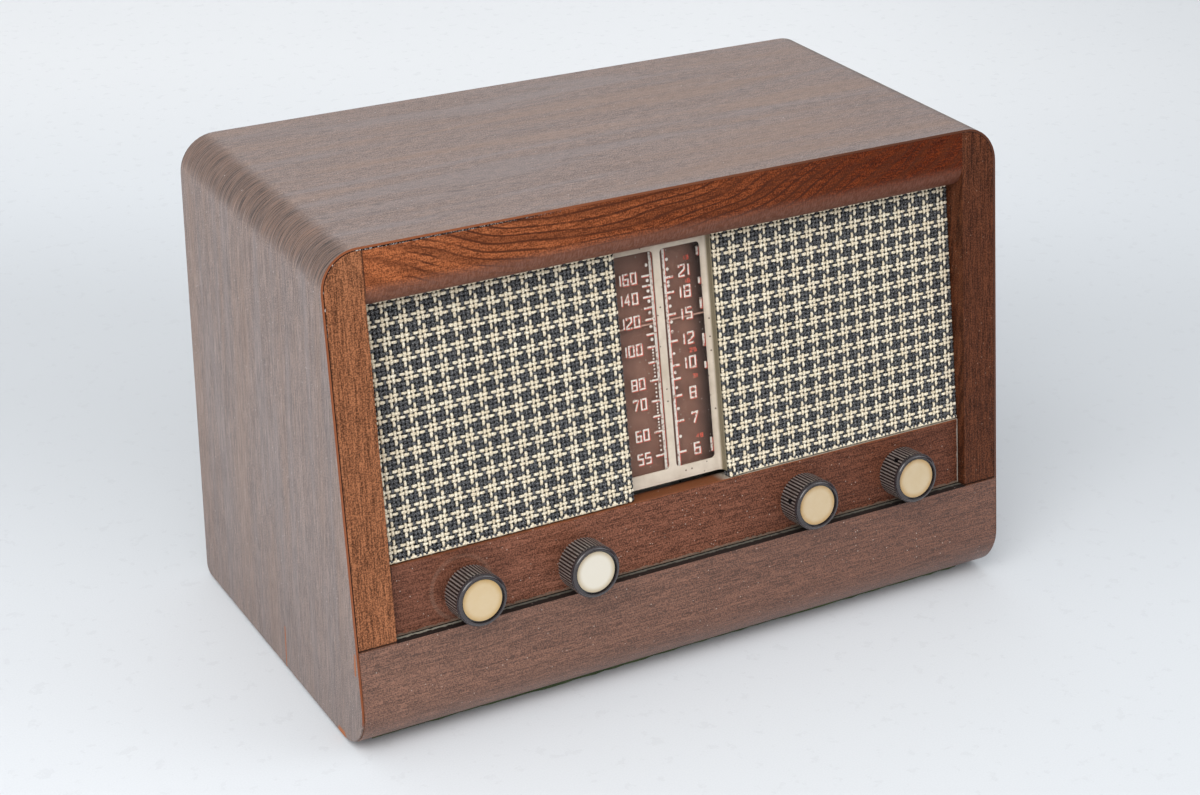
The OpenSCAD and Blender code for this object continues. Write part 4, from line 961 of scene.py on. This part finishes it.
# %% Loose fibres along the front edge
HAIRS = 2600
hair_points, hair_faces = [], []
for _ in range(HAIRS):
    x = draw.uniform(felt_low.x + 0.001, felt_high.x - 0.001)
    root = Vector((x, felt_low.y - felt_bulge(x) + 0.0004, draw.uniform(0.0002, 0.0017)))
    sideways, outwards = draw.uniform(-0.0008, 0.0008), -draw.uniform(0.0005, 0.0014)
    reach = Vector((sideways, outwards, draw.uniform(-0.0001, 0.0005)))
    thick = draw.uniform(0.00006, 0.00012)
    a = len(hair_points)
    hair_points += [root + Vector((thick, 0, 0)), root - Vector((thick, 0, 0)), root - Vector((0, 0, thick))]
    hair_points.append(root + reach)
    hair_faces += [(a, a + 1, a + 3), (a + 1, a + 2, a + 3), (a + 2, a, a + 3), (a, a + 2, a + 1)]
hair = mesh_piece("felt_fibres", hair_points, hair_faces)
print(HAIRS, "fibres")

# %% Felt finish
felt_look = Finish("green felt")
fuzz = felt_look.noise(900.0, 5.0, 0.75)
felt_look.mottle(40.0, 1.0, (0.040, 0.066, 0.024), (0.105, 0.135, 0.062))
felt_look.lay((0.16, 0.17, 0.12), felt_look.step(fuzz, 0.5, 0.7), 0.5)
felt_look.seal(0.95, fuzz, 0.0005, 0.8)
for piece in (felt, hair):
    piece.data.materials.append(felt_look.made)
    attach(piece, "cabinet")
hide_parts("felt_pad")
print("felt flat size 0.3796 x 0.186 m")

# %% [markdown]
# ## The dial
# The scales are printed on the back of the glass in white, each mark with a red one behind it and a
# little to the right, and a brown plate stands behind. Every mark is a thin piece of its own shape. The
# figures are squared strokes: a stroke is a chain of points widened to both sides, and its corners are
# cut where the two sides meet.

# %% Strokes and dots
MARK_THICK, DOT_SIDES = 0.05, 16


class Print:
    """Collects flat shapes on the dial, in millimetres, and makes them one thin mesh."""

    def __init__(self, inward, shift=(0.0, 0.0)):
        self.inward, self.shift, self.points, self.faces = inward, shift, [], []

    def polygon(self, corners):
        first = len(self.points)
        dx, dv = self.shift
        self.points += [dial_point(x + dx, self.inward, v + dv) for x, v in corners]
        self.faces.append(tuple(range(first, first + len(corners))))

    def stroke(self, chain, width, closed=False):
        half, count, sides = width / 2, len(chain), []
        for k, (x, v) in enumerate(chain):
            before = chain[k - 1] if k or closed else None
            after = chain[(k + 1) % count] if k < count - 1 or closed else None
            arms = []
            for a, b in ((before, (x, v)), ((x, v), after)):
                if a is not None and b is not None:
                    dx, dv = b[0] - a[0], b[1] - a[1]
                    size = math.hypot(dx, dv)
                    arms.append((-dv / size, dx / size))
            nx, nv = sum(a[0] for a in arms), sum(a[1] for a in arms)
            size = math.hypot(nx, nv)
            nx, nv = nx / size, nv / size
            reach = half / max(0.5, nx * arms[0][0] + nv * arms[0][1])
            sides.append(((x + nx * reach, v + nv * reach), (x - nx * reach, v - nv * reach)))
        for k in range(count if closed else count - 1):
            a, b = sides[k], sides[(k + 1) % count]
            self.polygon([a[0], b[0], b[1], a[1]])

    def disc(self, x, v, radius):
        turns = [2 * math.pi * k / DOT_SIDES for k in range(DOT_SIDES)]
        self.polygon([(x + radius * math.cos(a), v + radius * math.sin(a)) for a in turns])

    def make(self, name):
        piece = mesh_piece(name, self.points, self.faces, smooth=False)
        solid = piece.modifiers.new("thickness", "SOLIDIFY")
        solid.thickness, solid.offset = MARK_THICK * MM, 0.0
        print(name, len(self.faces), "faces")
        return piece


PRINT_Y, RED_Y = 8.27, 8.36
white = Print(PRINT_Y)
red = Print(RED_Y, (0.50, -0.52))
print("white print at", PRINT_Y, "mm, red print at", RED_Y, "mm")

# %% [markdown]
# Each figure is one chain of corners in a box one unit wide and high. Written so, the same ten chains serve
# every size of figure, and none of them is any one typeface. An 8 is a 0 with a bar.

# %% Figures
GLYPHS = {
    "0": ([(0, 0), (1, 0), (1, 1), (0, 1)], True), "1": ([(0, 0), (0, 1)], False),
    "2": ([(0, 0.82), (0, 1), (1, 1), (1, 0.60), (0, 0.20), (0, 0), (1, 0)], False),
    "3": ([(0, 1), (1, 1), (0.45, 0.58), (1, 0.50), (1, 0), (0, 0)], False),
    "4": ([(0.75, 0), (0.75, 1), (0, 0.32), (1, 0.32)], False),
    "5": ([(1, 1), (0, 1), (0, 0.56), (1, 0.52), (1, 0), (0, 0)], False),
    "6": ([(1, 1), (0, 1), (0, 0), (1, 0), (1, 0.52), (0.12, 0.52)], False),
    "7": ([(0, 0.85), (0, 1), (1, 1), (0.3, 0)], False),
    "8": ([(0, 0), (1, 0), (1, 1), (0, 1)], True),
    "9": ([(0.9, 0.48), (0, 0.48), (0, 1), (1, 1), (1, 0), (0, 0)], False),
}


def figures(sheet, text, x, v, height, width, stroke, gap, anchor):
    """Write plain figures, centred up and down on v. anchor says what x is: right or middle."""
    widths = [0.0 if c == "1" else width for c in text]
    total = sum(widths) + (len(text) - 1) * (gap + stroke)
    left = x - total if anchor == "right" else x - total / 2
    for c, w in zip(text, widths):
        chain, closed = GLYPHS[c]
        spots = [(left + px * w, v + (pv - 0.5) * (height - stroke)) for px, pv in chain]
        sheet.stroke(spots, stroke, closed)
        if c == "8":
            sheet.stroke([(left + stroke / 2, v), (left + w - stroke / 2, v)], stroke * 0.8)
        left += w + gap + stroke


print("figures", "".join(GLYPHS))

# %% [markdown]
# The left scale runs from 55 to 160 and the right one from 6 to 21. Each has a long line, cross marks
# beside the figures, and dots between them. The lists below say where each mark stands up the dial.

# %% Places on the two scales
# Places were read in a flattened view of the dial, where 11 units are a millimetre of a 400 mm wide
# set. The last terms allow for the print lying behind the front of the glass.
UNITS, WIDER, VIEW_X, VIEW_V = 11, 1.015, 1.16, -0.64
LEFT_FIGURES = (("160", 255), ("140", 372), ("120", 505), ("100", 668), ("80", 868), ("70", 988),
                ("60", 1170), ("55", 1308))
RIGHT_FIGURES = (("21", 268), ("18", 390), ("15", 518), ("12", 663), ("10", 806), ("8", 985), ("7", 1135),
                 ("6", 1320))
SMALL_FIGURES = (("13", 198), ("16", 333), ("25", 738), ("31", 892), ("49", 1250))
LEFT_TICKS = (255, 313, 377, 440, 507, 593, 667, 757, 863, 985, 1075, 1167, 1308)
LEFT_DOTS = (195, 283, 343, 403, 470, 550, 625)
RIGHT_TICKS = (290, 378, 506, 663, 806, 885, 985, 1135, 1320)
RIGHT_DOTS = (187, 243, 318, 340, 410, 458, 550, 607, 737, 847, 937, 1062, 1228)
RIGHT_BARS = ((145, 195), (325, 362), (445, 507), (655, 728), (822, 860), (1275, 1358))


def spot(unit_x, unit_v):
    """A place of the flattened view, as millimetres across and up the dial."""
    return ((-40 + unit_x / UNITS) * WIDER + VIEW_X,
            (WIDER * (235 - unit_v / UNITS) + 1.07) / 0.98 + VIEW_V)


print("left scale from", spot(334, 1405), "to", spot(334, 122), "mm")

# %% Print the scales
for sheet in (white, red):
    for text, unit in LEFT_FIGURES:
        figures(sheet, text, *spot(234, unit), 6.5, 2.9, 0.86, 0.94, "right")
    for text, unit in RIGHT_FIGURES:
        figures(sheet, text, *spot(552, unit), 6.8, 3.3, 0.92, 1.58, "middle")
    for unit in LEFT_TICKS:
        sheet.stroke([spot(272, unit), spot(328, unit)], 1.0)
    for unit in RIGHT_TICKS:
        sheet.stroke([spot(428, unit), spot(477, unit)], 1.05)
    for top, foot in RIGHT_BARS:
        sheet.stroke([spot(650, foot), spot(650, top)], 1.25)
    sheet.stroke([spot(334, 1405), spot(334, 122)], 1.6)
    sheet.stroke([spot(423, 1402), spot(423, 122)], 1.4)
for unit in LEFT_DOTS:
    white.disc(*spot(308, unit), 0.92)
for low_tick, high_tick in zip(LEFT_TICKS[6:], LEFT_TICKS[7:]):
    for k in range(1, 5):
        white.disc(*spot(308, low_tick + (high_tick - low_tick) * k / 5), 0.55)
for unit in RIGHT_DOTS:
    white.disc(*spot(445, unit), 0.88)
# The smallest figures are red alone, so they stand where they were read
red.shift = (0.0, 0.0)
for text, unit in SMALL_FIGURES:
    figures(red, text, *spot(575, unit), 2.5, 1.4, 0.55, 0.5, "middle")
white_print = white.make("dial_marks_white")
red_print = red.make("dial_marks_red")

# %% [markdown]
# ## Print, glass and plate
# The ink is rubbed thin in small spots, and its worn tone shows the plate through it. The glass is clear
# with a few smears. A Light Path node lets shadow rays through it, so that the plate behind is lit.

# %% Print, glass and plate finishes


def ink(name, colour, worn, scale):
    """A thin printed ink, rubbed thin in small spots."""
    look = Finish(name)
    look.colour = look.blend(look.step(look.patches(scale, 1.4), 0.55, 0.85), colour, worn)
    return look.seal(0.6)


white_ink = ink("white dial ink", (0.70, 0.63, 0.58), (0.34, 0.205, 0.165), 620.0)
red_ink = ink("red dial ink", (0.58, 0.085, 0.05), (0.40, 0.13, 0.09), 400.0)
for piece, finish in ((white_print, white_ink), (red_print, red_ink)):
    piece.data.materials.append(finish)
    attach(piece, "cabinet")

glass = Finish("clear dial glass")
glass.own(Base_Color=(0.97, 0.98, 0.97), Transmission_Weight=1.0, IOR=1.24)
smear = glass.step(glass.patches(30.0, 1.2), 0.6, 0.95)
shadow_ray = glass.put("LightPath")["Is Shadow Ray"]
clear = glass.put("BsdfTransparent", {"Color": (0.93, 0.95, 0.94)})[0]
mixed = glass.put("MixShader", {0: shadow_ray, 1: glass.shader.outputs[0], 2: clear})[0]
glass.fill(glass.tree.nodes["Material Output"].inputs["Surface"], mixed)
dress(glass.seal(glass.calc("ADD", 0.02, glass.times(smear, 0.10))), "dial_glass")

plate = Finish("brown dial plate")
plate.mottle(45.0, 1.1, (0.150, 0.068, 0.048), (0.245, 0.118, 0.084))
# Painted shade: the plate is darker towards its right end.
plate.lay((0.035, 0.024, 0.022), plate.step(plate.coordinate("X"), 0.012, 0.026))
plate.lay((0.36, 0.31, 0.27), plate.specks(800.0, 0.05))
dress(plate.seal(0.6), "dial_bracket")

pointer = Finish("pointer paint")
pointer.mottle(90.0, 1.0, (0.40, 0.22, 0.17), (0.55, 0.33, 0.26))
dress(pointer.seal(0.5), "dial_pointer")
print("dial finishes", white_ink.name, red_ink.name, glass.made.name, plate.made.name, pointer.made.name)

# %% [markdown]
# ## The dial frame
# A pressed steel frame, once cream, has gone grey-beige, with brown stains near its edges. Painted shade
# makes it darker olive where it bends forward on the right; its mask is how far a point stands before the
# frame's face.

# %% Dial frame
FACE_IN, FRAME_TOP = 5.4, 236.5
enamel = Finish("aged cream enamel")
patch = enamel.mottle(60.0, 1.2, (0.53, 0.435, 0.340), (0.70, 0.60, 0.49))
depth = enamel.calc("SUBTRACT", enamel.along(dial_in), dial_point(0, FACE_IN, 170).dot(dial_in))
# Painted shade on the forward bend.
enamel.lay((0.19, 0.155, 0.095), enamel.step(depth, -0.0004, -0.0022))
stain = enamel.band(dial_up, dial_point(0, FACE_IN, FRAME_TOP), 0.003, 0.8, 160.0)
enamel.lay((0.30, 0.16, 0.11), stain, 0.2)
enamel.lay((0.11, 0.07, 0.05), enamel.specks(520.0, 0.05))
dress(enamel.seal(0.42, patch, 0.00008, 0.5), "dial_escutcheon")
print("dial frame", len(enamel.tree.nodes), "nodes")

# %% [markdown]
# ## Knobs
# The knobs are a dark brown moulding with fine ribs. The ribs carry a painted highlight on their tips and
# painted shade between them, so the tone follows the distance from the knob's own axis. Each has a pale disc
# let into its face, yellowed towards the rim.

# %% Knobs and discs
KNOB_UP = 78.65
YELLOWED = (0.46, 0.28, 0.10)
# Radii in metres, each with its soft edge: the disc's seat, the foot of the ribs and their tips
SEAT_R, RIB_R, TIP_R = (0.0123, 0.0120), (0.0132, 0.0135), (0.01436, 0.01414)
# For each knob: its place across, how far its face stands out, and its disc's two tones
KNOBS = {"volume": (-137.2, 15.4, (0.610, 0.455, 0.260), (0.52, 0.33, 0.12)),
         "tone": (-72.5, 18.4, (0.700, 0.650, 0.560), (0.50, 0.40, 0.26)),
         "band": (71.7, 10.8, (0.560, 0.420, 0.250), YELLOWED),
         "tuning": (138.7, 10.8, (0.545, 0.415, 0.250), YELLOWED)}


def from_axis(look, x):
    """Distance of a point from a knob's axis."""
    away = look.vector("SUBTRACT", look.where, front_point(x, 0, KNOB_UP))
    return look.vector("LENGTH", look.vector("CROSS_PRODUCT", away, front_in))


def knob_finish(name, x, out):
    """A shiny bead, a seat for the disc painted black as shade, and ribs with painted highlights on their
    tips and painted shade between them.
    """
    look = Finish(name)
    radius = from_axis(look, x)
    patch = look.mottle(260.0, 1.2, (0.020, 0.014, 0.016), (0.036, 0.027, 0.029))
    behind_face = look.calc("SUBTRACT", look.along(front_in), front_point(x, -out, KNOB_UP).dot(front_in))
    shaded_seat = look.step(radius, *SEAT_R)
    # Painted shade: the seat round the disc is black.
    look.lay((0.006, 0.004, 0.004), shaded_seat, look.step(behind_face, 0.0010, 0.0012))
    # Painted highlight on the rib tips, painted shade between them.
    ridge_highlight = look.blend(patch, (0.170, 0.138, 0.126), (0.300, 0.255, 0.235))
    rib_highlight_and_shade = look.blend(look.step(radius, *TIP_R), ridge_highlight, (0.006, 0.005, 0.005))
    ribbed = look.times(look.step(behind_face, 0.0023, 0.0027), look.step(radius, *RIB_R))
    look.lay(rib_highlight_and_shade, ribbed)
    look.own(Coat_Weight=0.6, Coat_Roughness=0.06)
    return look.seal(look.calc("ADD", 0.13, look.times(ribbed, 0.25)), patch, 0.00003, 0.5)


def disc_finish(name, x, pale, rim):
    look = Finish(name)
    look.colour = look.blend(look.step(from_axis(look, x), 0.0080, 0.0112), pale, rim)
    patch = look.patches(110.0, 1.0)
    look.lay((0.74, 0.66, 0.52), patch, 0.22)
    return look.seal(0.38, patch, 0.00004, 0.4)


for knob, (x, out, pale, rim) in KNOBS.items():
    dress(knob_finish(knob + " knob moulding", x, out), knob + "_knob")
    dress(disc_finish(knob + " disc", x, pale, rim), knob + "_disc")
    print(knob, "knob and disc dressed")

# %% [markdown]
# ## What is inside
# The working parts show only through the back, but each has its real material: plated and painted
# steel, aluminium, brass, moulded phenolic, paper, glass.

# %% Inner finishes


def plain(name, low, high, rough, metal=0.0, scale=80.0, bump=0.00005):
    """A finish of two close tones in fine patches, with a few dark specks."""
    look = Finish(name)
    patch = look.mottle(scale, 1.2, low, high)
    look.lay(shade(low, 0.5), look.specks(420.0, 0.04))
    look.own(Metallic=metal)
    return look.seal(look.calc("ADD", rough, look.times(patch, 0.15)), patch, bump, 0.5)


dress(plain("plated steel", (0.42, 0.40, 0.36), (0.60, 0.58, 0.54), 0.30, 1.0, 120.0), "back_screws",
      "chassis_bolts", "dial_rods", "speaker_screws", "control_nuts", "control_pots", "volume_shaft",
      "tone_shaft", "band_shaft", "tuning_spindle")
dress(plain("chassis plating", (0.40, 0.40, 0.37), (0.58, 0.58, 0.55), 0.36, 1.0, 40.0), "chassis",
      "gang_frame")
dress(plain("aluminium", (0.58, 0.58, 0.57), (0.76, 0.76, 0.75), 0.32, 1.0, 60.0), "gang_stators",
      "gang_rotor", "smoothing_can", "coil_cans")
dress(plain("grey enamel", (0.10, 0.105, 0.11), (0.17, 0.175, 0.18), 0.40), "speaker_basket")
dress(plain("black enamel", (0.035, 0.036, 0.038), (0.07, 0.07, 0.072), 0.42), "speaker_magnet",
      "transformer_cores")
dress(plain("cone paper", (0.030, 0.027, 0.024), (0.055, 0.050, 0.044), 0.85, 0.0, 200.0, 0.0002),
      "speaker_cone")
dress(plain("waxed coil paper", (0.22, 0.11, 0.05), (0.34, 0.19, 0.09), 0.55), "transformer_coils")
dress(plain("brown phenolic", (0.075, 0.035, 0.018), (0.12, 0.06, 0.03), 0.35), "valve_sockets",
      "band_switch", "terminal_strip")
dress(plain("black moulding", (0.012, 0.011, 0.011), (0.026, 0.024, 0.023), 0.25), "valve_bases")
dress(plain("turned brass", (0.50, 0.34, 0.13), (0.66, 0.48, 0.22), 0.30, 1.0), "tuning_bush", "idler_top",
      "idler_low", "dial_lamps")
dress(plain("drum alloy", (0.40, 0.37, 0.27), (0.54, 0.50, 0.38), 0.45, 1.0), "tuning_drum")
dress(plain("hardboard", (0.10, 0.060, 0.034), (0.17, 0.105, 0.062), 0.7, 0.0, 300.0, 0.0003), "back_cover")

valve_glass = Finish("valve glass")
silver = valve_glass.step(valve_glass.coordinate("Z"), 0.150, 0.172)
valve_glass.colour = valve_glass.blend(silver, (0.95, 0.96, 0.96), (0.30, 0.30, 0.31))
valve_glass.own(Transmission_Weight=1.0, IOR=1.47)
dress(valve_glass.seal(0.05), "valve_bulbs")
print("materials", len(bpy.data.materials))

# %% [markdown]
# ## The drive cord
# A waxed cord joins the tuning spindle to the drum and the pointer. It leaves each pulley along the common
# tangent of that pulley and the next. It goes twice round the spindle for grip and once more round the
# drum, and both coils climb, so that the turns lie side by side.

# %% Route of the drive cord
CORD_Y, CORD_STEP, CORD_TURN = 14.0, 1.8, 0.16
# For each pulley: across, up the slope, radius, and whole turns more; below 0 they climb the other way
PULLEYS = ((104.0, 141.003, 32.469, -1), (46.0, 238.001, 6.1, 0),
           (46.0, 109.498, 6.1, 0), (138.7, 79.62, 3.1, 2))
FULL = 2 * math.pi


def heading(a, b):
    """Direction of the outer tangent from one pulley to the next, both turned the same way round."""
    dx, dv = b[0] - a[0], b[1] - a[1]
    return math.atan2(dv, dx) - math.asin((b[2] - a[2]) / math.hypot(dx, dv))


headings = [heading(a, b) for a, b in zip(PULLEYS, PULLEYS[1:] + PULLEYS[:1])]
cord_line = []
for k, (x, v, radius, coils) in enumerate(PULLEYS):
    arrive = headings[k - 1]
    round_pulley = (headings[k] - arrive) % FULL + FULL * abs(coils)
    steps = max(6, int(round_pulley / CORD_TURN))
    for n in range(steps + 1):
        turned = round_pulley * n / steps
        climb = min(1.0, turned / (FULL * abs(coils))) if coils else 0.0
        if coils < 0:
            climb = 1.0 - climb
        angle = arrive - math.pi / 2 + turned
        cord_line.append(dial_point(x + radius * math.cos(angle), CORD_Y + CORD_STEP * climb,
                                    v + radius * math.sin(angle)))
count = len(cord_line)
length = sum((cord_line[n] - cord_line[n - 1]).length for n in range(count))
print("drive cord", round(length, 3), "m")

# %% Drive cord
CORD_R, CORD_SIDES = 0.34, 8
cord_points, cord_faces = [], []
for n, middle in enumerate(cord_line):
    way = (cord_line[(n + 1) % count] - cord_line[n - 1]).normalized()
    side = way.cross(dial_in).normalized()
    over = side.cross(way)
    ring, after = CORD_SIDES * n, CORD_SIDES * ((n + 1) % count)
    for s in range(CORD_SIDES):
        angle = FULL * s / CORD_SIDES
        cord_points.append(middle + (side * math.cos(angle) + over * math.sin(angle)) * CORD_R * MM)
        t = (s + 1) % CORD_SIDES
        cord_faces.append((ring + s, ring + t, after + t, after + s))
cord = mesh_piece("drive_cord", cord_points, cord_faces)
waxed = Finish("waxed cord")
laid = waxed.noise(1500.0, 3.0)
waxed.colour = waxed.blend(waxed.step(laid, 0.35, 0.65), (0.34, 0.27, 0.15), (0.60, 0.51, 0.34))
cord.data.materials.append(waxed.seal(0.75, laid, 0.0002, 0.9))
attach(cord, "cabinet")
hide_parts("dial_cord")
print("cord tube", len(cord_faces), "faces")

# %% Finish
bare = [name for name, obj in nodes.items() if not obj.data.materials]
print("parts without a finish", bare)
